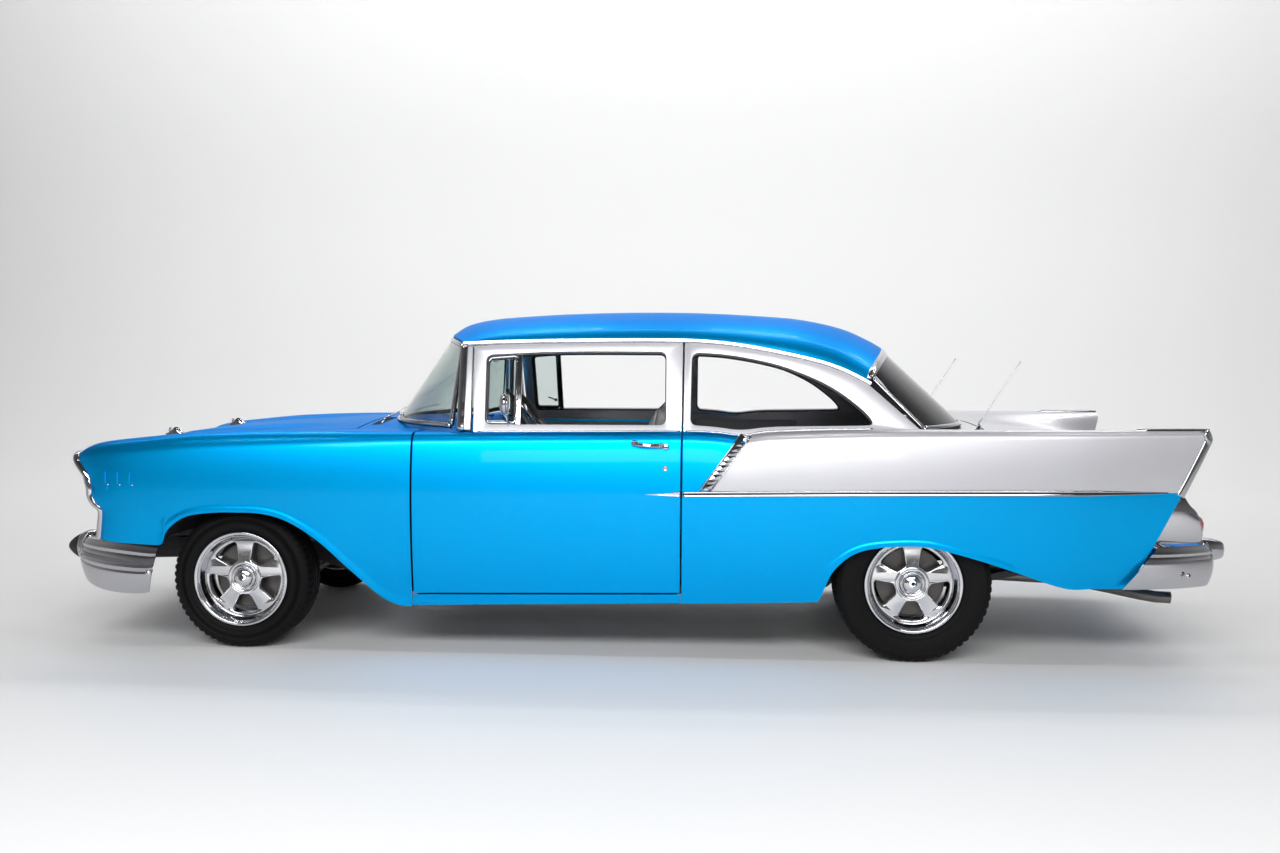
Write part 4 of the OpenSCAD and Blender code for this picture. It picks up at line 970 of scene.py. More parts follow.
trunk_us = np.concatenate([np.linspace(0, 0.78, 40)[:-1], np.linspace(0.78, 0.84, 11)[:-1],
                           np.linspace(0.84, 1, 16)])
make("trunk_lid_skin", *skin(trunk_surface, trunk_us, 80), silver, "trunk_lid", "silver_paint",
     ["trunk_lid"], edge=1.6, angle=50)
trunk_arm = [(14, 4), (-14, 4), (-10, -8), (44, -96), (96, -104), (112, -50), (122, 0), (330, -34),
             (330, -24), (125, 12), (104, 14), (92, -48), (84, -82), (54, -78), (14, -6)]
make("trunk_lid_hinges", *hinge_arms(1494, 940, 600, trunk_arm), chassis_black, "trunk_lid", "frame_steel")
make("rear_deck_skin", *skin(deck_surface, 18, 60), silver, "car_body",
     "silver_paint", ["rear_deck"], edge=1.4)
deck_brackets = box_pair((1474, 609, 915), (1514, 617, 956), 2)
deck_rails = box_pair((1420, 609, 915), (1510, 617, 933), 2)
deck_pins = [placed(hinge_pin, (1494, s * 600, 940), (0, 1, 0)) for s in (-1, 1)]
make("trunk_hinge_brackets", *join(*deck_brackets, *deck_rails, *deck_pins), chassis_black, "car_body",
     "frame_steel")
make("parcel_shelf", *box_piece((1010, -640, 905), (1450, 640, 915), 4), grey_vinyl, "car_body", "grey_vinyl")
make("tail_panel_skin", *skin(tail_panel_surface, 18, 60), azure, "car_body",
     "blue_paint", ["tail_panel"], edge=1.6)

# ---- Roof ----
# A crowned blue roof panel over a grey padded headliner. It ends at a chrome drip rail along each side and
# a bright strip across the top of the rear glass.
ROOF_FRONT, ROOF_REAR, ROOF_SIDE_FRONT, ROOF_SIDE_REAR, ROOF_T = -868, 1165, -722, 1035, 20
roof_line = faired([[-868, 1392], [-820, 1427], [-772, 1446], [-673, 1466], [-477, 1483], [-281, 1494],
                    [0, 1502], [302, 1501], [591, 1488], [783, 1472], [975, 1430], [1100, 1376],
                    [1165, 1338]], 14)


def roof_point(u, w):
    a = np.abs(w)
    x_mid, x_side = mix(ROOF_FRONT, ROOF_REAR, u), mix(ROOF_SIDE_FRONT, ROOF_SIDE_REAR, u)
    z_side = rail_z(x_side)
    crown = np.maximum(1 - a ** 2.5, 0) ** 0.62
    return mix(x_mid, x_side,
               a ** 2.4), w * (lean_y(z_side) + 2), z_side + (roof_line(x_mid) - z_side) * crown


def roof_under(u, w, drop=ROOF_T, pull=0.972):
    x, y, z = roof_point(u, w)
    return x, y * pull, z - drop * (1 - 0.5 * np.abs(w) ** 6)


def roof_ends(count, bunching=0.25):
    """Shares from 0 to 1 that crowd towards both ends."""
    t = np.linspace(0, 1, count)
    return mix(t, 0.5 - 0.5 * np.cos(math.pi * t), bunching)


roof_us = roof_ends(78, 0.6)
roof_ws = np.sin(np.linspace(-math.pi / 2, math.pi / 2, 86))
make("roof_panel", *skin(roof_point, roof_us, roof_ws, inner=roof_under), azure, "car_body", "blue_paint",
     ["roof"], edge=1.0, angle=60)
headliner = skin(lambda u, v: roof_under(mix(0.04, 0.95, u), mix(-0.94, 0.94, v), 24, 0.965), 40,
                 34, inner=lambda u, v: roof_under(mix(0.04, 0.95, u), mix(-0.94, 0.94, v), 30, 0.96))
headliner_cloth = finish("headliner_cloth", (0.42, 0.42, 0.44), 0.85, cell=1.2, colour_play=0.12, bump=0.15,
                         sheen_weight=0.3)
make("headliner", *headliner, headliner_cloth, "car_body", "grey_vinyl")

# ---- Bright mouldings ----
# Rolled stainless strips, each one section run along a line. These are the drip rails over the side windows
# and the strip across the rear of the roof.
def strip(path, outward, profile, width=None):
    """A closed section of [across, proud] points run along a line, with proud along outward at each place."""
    path, outward = np.asarray(path, float), np.asarray(outward, float)
    if outward.ndim == 1:
        outward = np.tile(outward, (len(path), 1))
    along = np.gradient(path, axis=0)
    along /= np.linalg.norm(along, axis=1, keepdims=True)
    outward = outward - (outward * along).sum(1, keepdims=True) * along
    outward /= np.linalg.norm(outward, axis=1, keepdims=True)
    across = np.cross(outward, along)
    scale = np.ones(len(path)) if width is None else np.asarray(width, float)
    profile = np.asarray(profile, float)
    points = (path[:, None] + scale[:, None, None] * profile[None, :, :1] * across[:, None]
              + np.minimum(1, scale * 1.6)[:, None, None] * profile[None, :, 1:] * outward[:, None])
    points, faces = lofted(points)
    ahead = np.roll(profile, -1, axis=0)
    if (profile[:, 0] * ahead[:, 1] - ahead[:, 0] * profile[:, 1]).sum() > 0:
        faces = [list(reversed(f)) for f in faces]
    return points, faces


def half_round(width, proud, sunk=2.0, steps=9):
    """The section of a rolled moulding: a low arc on a flat back."""
    arc = [(width / 2 * math.cos(a), proud * math.sin(a) ** 0.8) for a in np.linspace(0, math.pi, steps)]
    return [(width / 2, -sunk)] + arc + [(-width / 2, -sunk)]


gutter = [(-9, -3), (-9, 3), (-7.5, 5), (-5, 5), (-3, 1.5), (3, 1.5), (6, 6.5), (8.5, 7), (9.5, 5), (9.5, -3)]
for side, hand in HANDS:
    xs = np.linspace(-728, 1046, 130)
    rail = np.stack([xs, lean_y(rail_z(xs)) + 3.0, rail_z(xs) + 1.5], 1)
    drip = strip(rail, (0, 1, 0.25), gutter)
    make(f"drip_rail_{hand}", *on_side(drip, side), chrome, "car_body", "chrome", edge=0.6)

rear_ws = np.linspace(-0.985, 0.985, 90)
x, y, z = roof_point(np.ones(90), rear_ws)
outward = np.stack([np.full(90, 0.3), rear_ws * 0.2, np.ones(90)], 1)
make("roof_rear_strip", *strip(np.stack([x - 2, y, z - 1], 1), outward, half_round(22, 5)), chrome,
     "car_body", "chrome")

# ---- Windshield and rear glass ----
# Wrapped sheets, straight from the roof's edge down to a curved foot. The windshield is lightly tinted, the
# rear glass dark, and each sits in a rubber channel under a chrome surround.
GLASS_T = 6
GLASS_U, GLASS_W = 0.03, 0.955


def windshield_foot(w):
    a = np.abs(w)
    return -1150 + 432 * a ** 2.6, w * 836, 984 - 4 * a


def rear_foot(w):
    return 1530 - 292 * np.abs(w) ** 3, w * 832, np.full_like(w, 992.0)


def roof_edge(w, end):
    x, y, z = roof_point(np.full_like(w, float(end)), w)
    return x, y * 0.985, z - 7


def bent_glass(foot, end):
    def surface(u, w):
        return tuple(mix(a, b, u) for a, b in zip(foot(w), roof_edge(w, end)))
    return surface


clear_glass = finish("tinted_safety_glass", (0.702, 0.78, 0.7605), 0.0075, cell=167, colour_play=0.0256,
                     rough_play=1.0, transmission_weight=1.0, ior=1.5)
dark_glass = finish("smoked_safety_glass", (0.0475, 0.0494, 0.0589), 0.0075, cell=167, colour_play=0.0526,
                    rough_play=1.0, transmission_weight=0.7, ior=1.5, specular_ior_level=0.2)


def glass_sheet(foot, end):
    surface = bent_glass(foot, end)
    return skin(lambda u, v: surface(mix(GLASS_U, 1 - GLASS_U, u), mix(-GLASS_W, GLASS_W, v)), 18,
                68, GLASS_T)


make("windshield_glass", *glass_sheet(windshield_foot, 0), clear_glass, "car_body", "clear_glass",
     ["windshield"], edge=1, angle=60)
make("rear_glass", *glass_sheet(rear_foot, 1), dark_glass, "car_body", "dark_glass", ["rear_window"], edge=1,
     angle=60)


def glass_border(foot, end):
    """The closed line round a glass and the outward direction at each place, from its foot up and over."""
    surface = bent_glass(foot, end)
    ws = np.linspace(-GLASS_W, GLASS_W, 70)
    us = np.linspace(GLASS_U, 1 - GLASS_U, 16)
    sides = [(np.full(70, GLASS_U), ws), (us, np.full(16, GLASS_W)), (np.full(70, 1 - GLASS_U), ws[::-1]),
             (us[::-1], np.full(16, -GLASS_W))]
    result = []
    for u, w in sides:
        here = np.stack(surface(u, w), 1)
        up = np.stack(surface(u + 0.01, w), 1) - here
        round_way = np.stack(surface(u, w + 0.004), 1) - here
        normal = np.cross(up, round_way)
        normal /= np.linalg.norm(normal, axis=1, keepdims=True)
        normal *= np.sign((normal * (here - (0, 0, 1100))).sum(1, keepdims=True))
        result.append((here, normal))
    return result


for name, foot, end in (("windshield", windshield_foot, 0), ("rear_glass", rear_foot, 1)):
    channels, brights = [], []
    for here, normal in glass_border(foot, end):
        channels.append(strip(here - 3 * normal, normal, [(-12, -6), (-12, 5), (12, 5), (12, -6)]))
        brights.append(strip(here + 2 * normal, normal, half_round(20, 5, 1)))
    make(f"{name}_channel", *join(*channels), rubber, "car_body", "black_rubber", edge=1)
    make(f"{name}_surround", *join(*brights), chrome, "car_body", "chrome")

# The pillars beside the windshield, with a wide chrome cover down their front
for side, hand in HANDS:
    pillar = window_plate([(-722, 976), (-672, 976), (-684, 1336), (-726, 1334)], [], FRAME_T, 0, 3)
    make(f"windshield_pillar_{hand}", *on_side(pillar, side), silver, "car_body", "silver_paint",
         ["windshield_frame"] if side < 0 else [])
    heights = np.linspace(972, 1344, 20)
    front = [in_window_plane(x, z, -2) for x, z in zip(np.linspace(-716, -722, 20), heights)]
    cover = strip(front, (-0.25, 1, 0.35), half_round(34, 6, 6))
    make(f"windshield_pillar_cover_{hand}", *on_side(cover, side), chrome, "car_body", "chrome")

# ---- Side windows and vent panes ----
# The side windows are wound down, so only the corner vent panes carry glass, each in a chrome frame with a
# rubber seal, a small latch and the upright bar that divides it from the door's own glass.
def around(loop, sink, profile):
    """A moulding that runs round a closed loop in the side windows' plane."""
    run = [in_window_plane(x, z, sink) for x, z in [*loop, *loop[:2]]]
    return strip(run, (0, math.cos(SIDE_LEAN), math.sin(SIDE_LEAN)), profile)


vent_outline = rounded([(-604, 1010), (-613, 1288), (-488, 1298), (-484, 1010)], [16, 24, 14, 12], 7)
for side, hand in HANDS:
    body = f"door_{hand}"
    pane = window_plate(vent_outline, [], GLASS_T, 16, 1)
    make(f"vent_pane_{hand}", *on_side(pane, side), clear_glass, body, "clear_glass", [f"vent_window_{hand}"])
    make(f"vent_seal_{hand}", *on_side(around(vent_outline, 19, [(-7, -5), (-7, 7), (4, 7), (4, -5)]), side),
         rubber, body, "black_rubber", edge=0.8)
    bar = window_plate([(-480, 1003), (-486, 1305), (-464, 1306), (-458, 1003)], [], 20, 9, 2)
    frame_bright = around(vent_outline, 13, half_round(9, 4, 2))
    latch = join(placed(turned([(0, 0), (9, 0), (8, 6), (0, 8)], 24), in_window_plane(-500, 1052, 26),
                        (0, -1, 0)), tube([in_window_plane(-500, 1052, 34), in_window_plane(-520, 1066, 38),
                                           in_window_plane(-540, 1072, 40)], 4))
    make(f"vent_frame_{hand}", *on_side(join(bar, frame_bright, latch), side), chrome, body, "chrome")
    lining = around(door_opening, 30, [(-3, -8), (-3, 6), (4, 6), (4, -8)])
    make(f"door_window_lining_{hand}", *on_side(lining, side), rubber, body, "black_rubber", edge=0.8)
    quarter_lining = around(quarter_opening, 30, [(-3, -8), (-3, 6), (4, 6), (4, -8)])
    make(f"quarter_window_lining_{hand}", *on_side(quarter_lining, side), rubber, "car_body", "black_rubber",
         edge=0.8)

# ---- Side trim ----
# The spear runs from a point on the door back to the fin, widening as it goes, with a dark painted centre
# line. The sash is a ribbed wedge in a bright frame that climbs from the spear to the belt, over a near-black
# backing that is painted shade for the recess under its ribs.
def side_line(xs, z_of, lift=1.0):
    """Points on the right-hand side of the body at the heights z_of, standing out by lift."""
    xs = np.asarray(xs, float)
    z = z_of(xs)
    shift = np.where(xs > 1880, tail_shift(xs, z), 0)
    return np.stack([xs + shift, side_y(xs, z) + lift, z], 1)


spear_shape = [(13, -1), (13, 1.2), (10.5, 4.4), (7.4, 5.4), (4.4, 3.0), (-4.4, 3.0), (-7.4, 5.4),
               (-10.5, 4.4), (-13, 1.2), (-13, -1)]
for side, hand in HANDS:
    # The strip is split at the door's rear edge so that each part moves with its own panel
    for name, x0, x1, body in (("door", 92, 238, f"door_{hand}"), ("quarter", 249, 2362, "car_body")):
        xs = np.linspace(x0, x1, 24 if name == "door" else 180)
        # Narrow at the point in front, full over the quarter, and fading into the fin's end
        width = np.clip(smooth((xs - 84) / 190), 0.06, 1) * np.clip(1 - 0.75 * smooth((xs - 1900) / 520),
                                                                    0.2, 1)
        spear = strip(side_line(xs, spear_z, 0.4), (0, 1, 0), spear_shape, width)
        make(f"spear_{name}_{hand}", *on_side(spear, side), chrome, body, "chrome")
        dark = strip(side_line(xs, spear_z, 1.6), (0, 1, 0), [(3.6, -1), (3.6, 2.1), (-3.6, 2.1),
                                                              (-3.6, -1)], width)
        if name == "quarter":
            make(f"spear_line_{hand}", *on_side(dark, side), black_trim_and_opening_shade, body, "black_plastic")

sash_share = np.linspace(0.02, 1, 40)
sash_z = mix(734, 961, sash_share)
sash_mid = 343 + 166 * sash_share


def sash_edge(offset, lift):
    run = []
    for x, z in zip(sash_mid, sash_z):
        top = shoulder_z(x + offset)
        y = side_y(x + offset, min(z, top))
        if z > top:
            y = y - 0.9 * (z - top) ** 1.5 / 6
        run.append((x + offset, y + lift, z))
    return np.array(run)


# Near-black for the sash's backing and the headlamps' surrounds: painted shade for their recesses
painted_recess_shade = finish("painted_recess_shade", (0.03, 0.03, 0.034), 0.4, 0.6, cell=5, colour_play=0.2)
for side, hand in HANDS:
    front = strip(sash_edge(-24, 0.5), (0, 1, 0), half_round(7, 6, 2))
    back = strip(sash_edge(25, 0.5), (0, 1, 0), half_round(7, 6, 2))
    ends = [tube([sash_edge(-24, 2)[k], sash_edge(25, 2)[k]], 3.4, 10) for k in (0, -1)]
    # Pressed pyramids between the two rails, eleven of them up the sash
    pyramids = []
    left_edge, right_edge = sash_edge(-21, 1.2), sash_edge(22, 1.2)
    marks = np.linspace(0, 39, 12)
    for k in range(11):
        a, b = int(round(marks[k])), int(round(marks[k + 1]))
        corners = np.array([left_edge[a], right_edge[a], right_edge[b], left_edge[b]])
        centre = corners.mean(0) + (0, 5.5, 0)
        backs = corners - (0, 3, 0)
        pyramids.append((np.vstack([corners, centre, backs]), [[0, 1, 4], [1, 2, 4], [2, 3, 4], [3, 0, 4],
                                                               [5, 6, 1, 0], [6, 7, 2, 1], [7, 8, 3, 2],
                                                               [8, 5, 0, 3], [8, 7, 6, 5]]))
    make(f"sash_rails_{hand}", *on_side(join(front, back, *ends), side), chrome, "car_body", "chrome")
    make(f"sash_facets_{hand}", *on_side(join(*pyramids), side), chrome, "car_body", "chrome", hard=True)
    # The backing's near-black is painted shade for the recess between the ribs
    backing = strip((sash_edge(-21, 0) + sash_edge(22, 0)) / 2, (0, 1, 0),
                    [(21, -1), (21, 1.4), (-21, 1.4), (-21, -1)])
    make(f"sash_backing_{hand}", *on_side(backing, side), painted_recess_shade, "car_body", "black_plastic")

# ---- Belt mouldings and fin caps ----
# A slim bright strip lies along the sill of each side window, and a polished cap rides the top of each fin
# from a thin tail in front to a thick rounded end.
for side, hand in HANDS:
    for name, x0, x1, body in (("door", -640, 232, f"door_{hand}"), ("quarter", 256, 1050, "car_body")):
        xs = np.linspace(x0, x1, 70)
        zs = crest_z(xs) + 1.5
        ys = np.minimum(lean_y(zs + 14) + 7, crest_y(xs) - 1)
        zs = top_z(xs, ys) + 1
        belt = strip(np.stack([xs, ys, zs], 1), (0, 0.5, 1), half_round(9, 4.5, 2))
        make(f"belt_strip_{name}_{hand}", *on_side(belt, side), chrome, body, "chrome")
    xs = np.linspace(2112, 2436, 60)
    share = (xs - 2112) / 324
    cap_width = np.clip(smooth(share / 0.2), 0.15, 1)
    run = np.stack([xs, crest_y(xs) + 5, crest_z(xs) - 3.5], 1)
    cap = strip(run, (0, 0, 1), [(18, -8), (18, 5), (14, 10), (6, 12), (-6, 12), (-14, 10), (-18, 5),
                                 (-18, -8)], cap_width)
    make(f"fin_cap_{hand}", *on_side(cap, side), chrome, "car_body", "chrome")

# ---- Tail lamps ----
# A slanted chrome bezel closes the end of each fin, and a chrome pod at its foot carries the round red lens
# and a small clear one below it.
def bezel_surface(u, v):
    y = mix(656, 868, v)
    top = top_z(np.full_like(y, 2400), y) - 24
    z = mix(600, top, u)
    return line(tail_line, z) - 6, np.minimum(y, side_y(np.full_like(z, 2380), np.minimum(z, 940)) - 10), z


def bezel_rim():
    """The outer edge of the fin's end, down its side from the cap to the lamp pod."""
    zs = np.linspace(1000, 733, 60)
    x = line(tail_line, zs) - 4 - 14 * smooth((zs - 960) / 40)
    y = side_y(np.full_like(zs, 2400), np.minimum(zs, 950)) - 5
    return np.stack([x, y, zs], 1)


def soft_square(y, z, half_y, half_z, power, count):
    """The y and z values of a ring with rounded corners that faces along the car."""
    a = np.linspace(0, 2 * math.pi, count + 1)[:-1]
    return (y + half_y * np.sign(np.cos(a)) * np.abs(np.cos(a)) ** power,
            z + half_z * np.sign(np.sin(a)) * np.abs(np.sin(a)) ** power)


pod_back = [[527, 2408], [569, 2411], [628, 2402], [660, 2389], [680, 2374], [700, 2354], [735, 2342]]
red_lens = finish("red_lens", (0.55, 0.005, 0.004), 0.12, cell=7, colour_play=0.15, rough_play=0.3, bump=0.2,
                  transmission_weight=0.25, coat_weight=0.6)
for side, hand in HANDS:
    bezel = skin(bezel_surface, 40, 24, 4)
    rim = strip(bezel_rim(), (0.25, 1, 0.1), [(-17, -12), (-17, 3), (-13, 6.5), (13, 6.5), (17, 3),
                                              (17, -12)])
    # The pod bulges back from the bezel and rounds over at its top, with a flat face round the lens
    rows = []
    for t in np.linspace(0, 1, 22):
        grow = 1 - 0.07 * t ** 4
        y, z = soft_square(826, 631, 58 * grow, 104 * grow, 0.5, 48)
        rows.append(np.stack([mix(line(tail_line, z) - 22, line(pod_back, z), t), y, z], 1))
    rows.append(rows[-1] + (4, 0, 0))
    rows[-1][:, 1:] = (rows[-1][:, 1:] - (826, 631)) * 0.94 + (826, 631)
    ring = placed(turned([(48, 0), (50, 4), (48, 12), (43, 14), (40, 10), (40, 0)], 64), (2397, 826, 606),
                  (1, 0, 0.06))
    make(f"tail_lamp_bezel_{hand}", *on_side(join(bezel, rim), side), chrome, "car_body", "chrome",
         ["tail_lamps"] if side < 0 else [])
    make(f"tail_lamp_pod_{hand}", *on_side(join(lofted(rows), ring), side), chrome, "car_body", "chrome",
         edge=1.5)
    lens_ribs = [(0, 30), (8, 29.5), (9, 31), (16, 28.5), (17, 30), (24, 26), (25, 27.5), (32, 22), (33, 23),
                 (40, 12), (40, 0), (0, 0)]
    lens_piece = placed(turned(lens_ribs, 64), (2400, 826, 606), (1, 0, 0.06))
    make(f"tail_lamp_lens_{hand}", *on_side(lens_piece, side), red_lens, "car_body", "red_lens")

# ---- Front bumper ----
# A chromed blade wraps from wheel to wheel, deep at its corners with a long crease along it, over two
# brackets. Each side carries a bullet guard with a black rubber tip.
front_bumper_x = [[0, -2462], [450, -2470], [680, -2456], [800, -2414], [860, -2350], [930, -2225],
                  [1080, -2030]]
front_bumper_y = [[0, 0], [450, 450], [680, 676], [800, 790], [860, 838], [930, 888], [1080, 915]]
front_bumper_top = [[0, 455], [500, 470], [700, 476], [900, 470], [1080, 448]]
front_bumper_low = [[0, 330], [420, 330], [640, 330], [720, 318], [800, 292], [860, 264], [900, 251],
                    [960, 246], [1020, 249], [1055, 260], [1080, 288]]


def blade(x_line, y_line, top_line, low_line, bulge, reach, turn_from, turn_over, forward, creases):
    """A bumper's surface: two lines give its plan, and its face swells, creased at shares of its height."""
    def surface(u, v):
        s = mix(-1, 1, u) * mix(*reach, v)
        d = np.abs(s)
        z = mix(line(low_line, d), line(top_line, d), v)
        swell = bulge * np.sin(math.pi * v) ** 0.8
        crease = sum(3.5 * np.exp(-((v - c - 0.06) / 0.045) ** 2) - 5.0 * np.exp(-((v - c) / 0.032) ** 2)
                     for c in creases)
        turn = smooth((d - turn_from) / turn_over)
        x = line(x_line, d) + forward * (swell + crease) * (1 - turn)
        y = np.sign(s) * (line(y_line, d) - 12 * smooth(d / 300) + (0.45 * swell + crease) * turn)
        return x, y, z
    return surface


front_blade = skin(blade(front_bumper_x, front_bumper_y, front_bumper_top, front_bumper_low, 34,
                         (1045, 1080), 600, 420, -1, (0.8, 0.47)), 136, 61, 5)
brackets = box_pair((-2438, 380, 352), (-2332, 436, 412), 4)
make("front_bumper_blade", *front_blade, chrome, "car_body", "chrome", ["front_bumper"], edge=2.0, angle=50)
make("front_bumper_brackets", *join(*brackets), chassis_black, "car_body", "frame_steel")


def pan(x_line, y_line, top_line, reach, body_x, body_z, forward):
    """A painted pan from the body's lower edge out to the back of a bumper's top."""
    def surface(u, v):
        s = mix(-reach, reach, u)
        d = np.abs(s)
        y = np.sign(s) * line(y_line, d) * mix(0.955, 0.985, v)
        z = mix(body_z, line(top_line, d) - 12, v) - 6 * np.sin(math.pi * v)
        return mix(body_x, line(x_line, d) - forward * 12, v), y, z
    return surface


front_pan = skin(pan(front_bumper_x, front_bumper_y, front_bumper_top, 850, -2316, 484, -1), 80,
                 10, 2)
make("front_pan", *front_pan, silver, "car_body", "silver_paint", edge=0.8)
bolt_head = turned([(0, 0), (12, 0), (11.4, 3), (7, 6), (0, 7.2)], 28)
for side, hand in HANDS:
    bullet = turned([(0, -20), (70, -20), (74, -14), (76, 0), (76, 12), (73, 26), (70, 34), (67, 37),
                     (67, 40), (64, 46), (60, 54), (0, 54)], 80)
    tip = turned([(0, 50), (58, 50), (58, 55), (54, 64), (48, 76), (40, 88), (30, 100), (18, 112), (8, 118),
                  (0, 119.5)], 72)
    make(f"bumper_bullet_{hand}", *placed(bullet, (-2440, side * 636, 414), (-1, 0, 0)), chrome, "car_body",
         "chrome")
    make(f"bullet_tip_{hand}", *placed(tip, (-2440, side * 636, 414), (-1, 0, 0)), rubber, "car_body",
         "black_rubber")
    bolt = placed(bolt_head, (-2072, 912, 342), (0, 1, 0))
    make(f"front_bumper_bolts_{hand}", *on_side(bolt, side), polished, "car_body", "chrome")

# ---- Rear bumper ----
# The chromed rear blade runs round both corners to the arches, with a heavy guard under each fin, a bolt on
# each side, and a blank plate in its carrier.
rear_bumper_x = [[0, 2440], [500, 2452], [700, 2480], [830, 2470], [900, 2405], [980, 2310], [1230, 2078]]
rear_bumper_y = [[0, 0], [500, 500], [700, 690], [830, 800], [900, 850], [980, 890], [1130, 907], [1230, 908]]
rear_bumper_top = [[0, 470], [450, 480], [700, 520], [1130, 520]]
rear_bumper_low = [[0, 350], [450, 350], [700, 338], [860, 346], [1230, 338]]
rear_blade = skin(blade(rear_bumper_x, rear_bumper_y, rear_bumper_top, rear_bumper_low, 32, (1222, 1062),
                        680, 400, 1, (0.76,)), 140, 61, 5)
make("rear_bumper_blade", *rear_blade, chrome, "car_body", "chrome", ["rear_bumper"], edge=2.0, angle=50)
rear_pan = skin(pan(rear_bumper_x, rear_bumper_y, rear_bumper_top, 880, 2284, 516, 1), 80,
                10, 2)
make("rear_pan", *rear_pan, azure, "car_body", "blue_paint", edge=0.8)
for side, hand in HANDS:
    rows = []
    for t in np.linspace(0, 1, 20):
        grow = 1 - 0.26 * t ** 2.4
        y, z = soft_square(695, 487, 56 * grow, 50 * grow, 0.6, 40)
        rows.append(np.stack([np.full(40, 2462 + 90 * t), y, z], 1))
    rows.append(rows[-1] + (7, 0, 0))
    rows[-1][:, 1:] = (rows[-1][:, 1:] - (695, 487)) * 0.8 + (695, 487)
    make(f"rear_guard_{hand}", *on_side(lofted(rows), side), chrome, "car_body", "chrome")
    bolt = placed(bolt_head, (2356, 893, 400), (0.25, 1, 0))
    make(f"rear_bumper_bolt_{hand}", *on_side(bolt, side), polished, "car_body", "chrome")
stays = box_pair((2130, 380, 304), (2460, 436, 338), 4)
risers = box_pair((2420, 380, 304), (2456, 436, 404), 4)
make("rear_bumper_brackets", *join(*stays, *risers), chassis_black, "car_body", "frame_steel")
plate_holes = [[(y + 3.5 * math.cos(a), z + 3.5 * math.sin(a)) for a in np.linspace(0, 2 * math.pi, 25)[:-1]]
               for y in (-89, 89) for z in (-60.5, 60.5)]
carrier = placed(flat_plate(oblong(152, 76, 12), plate_holes, 6, 1),
                 (2478, 0, 420), (1, 0, 0))
make("plate_carrier", *carrier, chrome, "car_body", "chrome")
blank = placed(flat_plate(oblong(148, 72, 10), plate_holes, 1.6, 0.5),
               (2485, 0, 420), (1, 0, 0))
plate_white = finish("blank_plate_enamel", (0.75, 0.75, 0.74), 0.35, cell=8, colour_play=0.04)
make("blank_plate", *blank, plate_white, "car_body", "silver_paint")

# ---- Front grille and nose bezel ----
# A bright ring follows the edge of the fenders and hood round the whole opening. Inside it are a fine mesh,
# a wide bar with a round lamp at each end, and a second bar across the top. A near-black sheet just behind
# the mesh is painted shade for the dark seen through the grille.
def nose_run():
    """The line round the right-hand half of the front opening, from the hood's middle down to the chin."""
    ys = np.linspace(0, 700, 40)
    top = np.stack([np.full(40, HOOD_FRONT + 3.0), ys, top_z(np.full(40, HOOD_FRONT + 3.0), ys) - 6], 1)
    side = np.stack(fender_surface(np.zeros(90), np.linspace(0.93, 0.0, 90)), 1)
    return top, side


top_run, side_run = nose_run()
for side, hand in HANDS:
    outward = np.tile((-1.0, 0.35, 0.0), (len(side_run), 1))
    ring = strip(side_run + (1.5, -4, 0), outward, half_round(26, 21, 5))
    make(f"nose_bezel_{hand}", *on_side(ring, side), chrome, "car_body", "chrome")
top_both = np.concatenate([top_run[::-1] * (1, -1, 1), top_run[1:]])
top_bezel = strip(top_both[6:-6], (-1, 0, 0.1), half_round(20, 4, 4))
make("hood_lip_moulding", *top_bezel, chrome, "hood", "chrome")
mesh_bars = []
for k in range(46):
    y = -592 + 26.3 * k
    mesh_bars.append(box_piece((-2331, y - 2.2, 482), (-2326, y + 2.2, 808), 1))
for k in range(13):
    z = 492 + 25.4 * k
    mesh_bars.append(box_piece((-2328, -598, z - 2.2), (-2322, 598, z + 2.2), 1))
gilt_mesh = finish("bright_mesh", (0.5, 0.49, 0.47), 0.25, 1.0, cell=9, colour_play=0.15, rough_play=0.3)
make("grille_mesh", *join(*mesh_bars), gilt_mesh, "car_body", "chrome", ["grille"])
bar_shape = [(23 * math.cos(a) * (1 if abs(math.cos(a)) < 0.9 else 0.98),
              30 * max(0.0, math.sin(a)) ** 0.7 - 2) for a in np.linspace(0, math.pi, 15)]
bar = strip([(-2342, y, 608) for y in np.linspace(-640, 640, 60)], (-1, 0, 0), bar_shape)
upper_bar = strip([(-2352 - 12 * math.cos(y / 640 * 1.2), y, 789) for y in np.linspace(-636, 636, 60)],
                  (-1, 0, 0), [(13, -14), (13, 6), (9, 14), (0, 17), (-9, 14), (-13, 6), (-13, -14)])
lamp_cups = [placed(turned([(0, 0), (60, 0), (62, 10), (62, 42), (58, 52), (50, 55), (46, 50), (44, 40),
                            (0, 38)], 72), (-2317, s * 600, 608), (-1, 0, 0)) for s in (-1, 1)]
make("grille_bars", *join(bar, upper_bar, *lamp_cups), chrome, "car_body", "chrome")
amber = finish("parking_lamp_lens", (0.86, 0.84, 0.8), 0.12, cell=6, colour_play=0.08, bump=0.3,
               transmission_weight=0.5, coat_weight=0.5)
park_lenses = [placed(turned([(0, 30), (14, 29), (15, 30.5), (28, 27), (29, 28), (43, 20), (43, 0), (0, 0)],
                             64), (-2343, s * 600, 608), (-1, 0, 0)) for s in (-1, 1)]
make("parking_lamp_lenses", *join(*park_lenses), amber, "car_body", "clear_glass")
# A near-black sheet behind the mesh: painted shade for the dark seen through the grille
shade_sheet = box_piece((-2318, -640, 470), (-2308, 640, 800), 3)
make("grille_shade_sheet", *shade_sheet, black_trim_and_opening_shade, "car_body", "black_plastic")
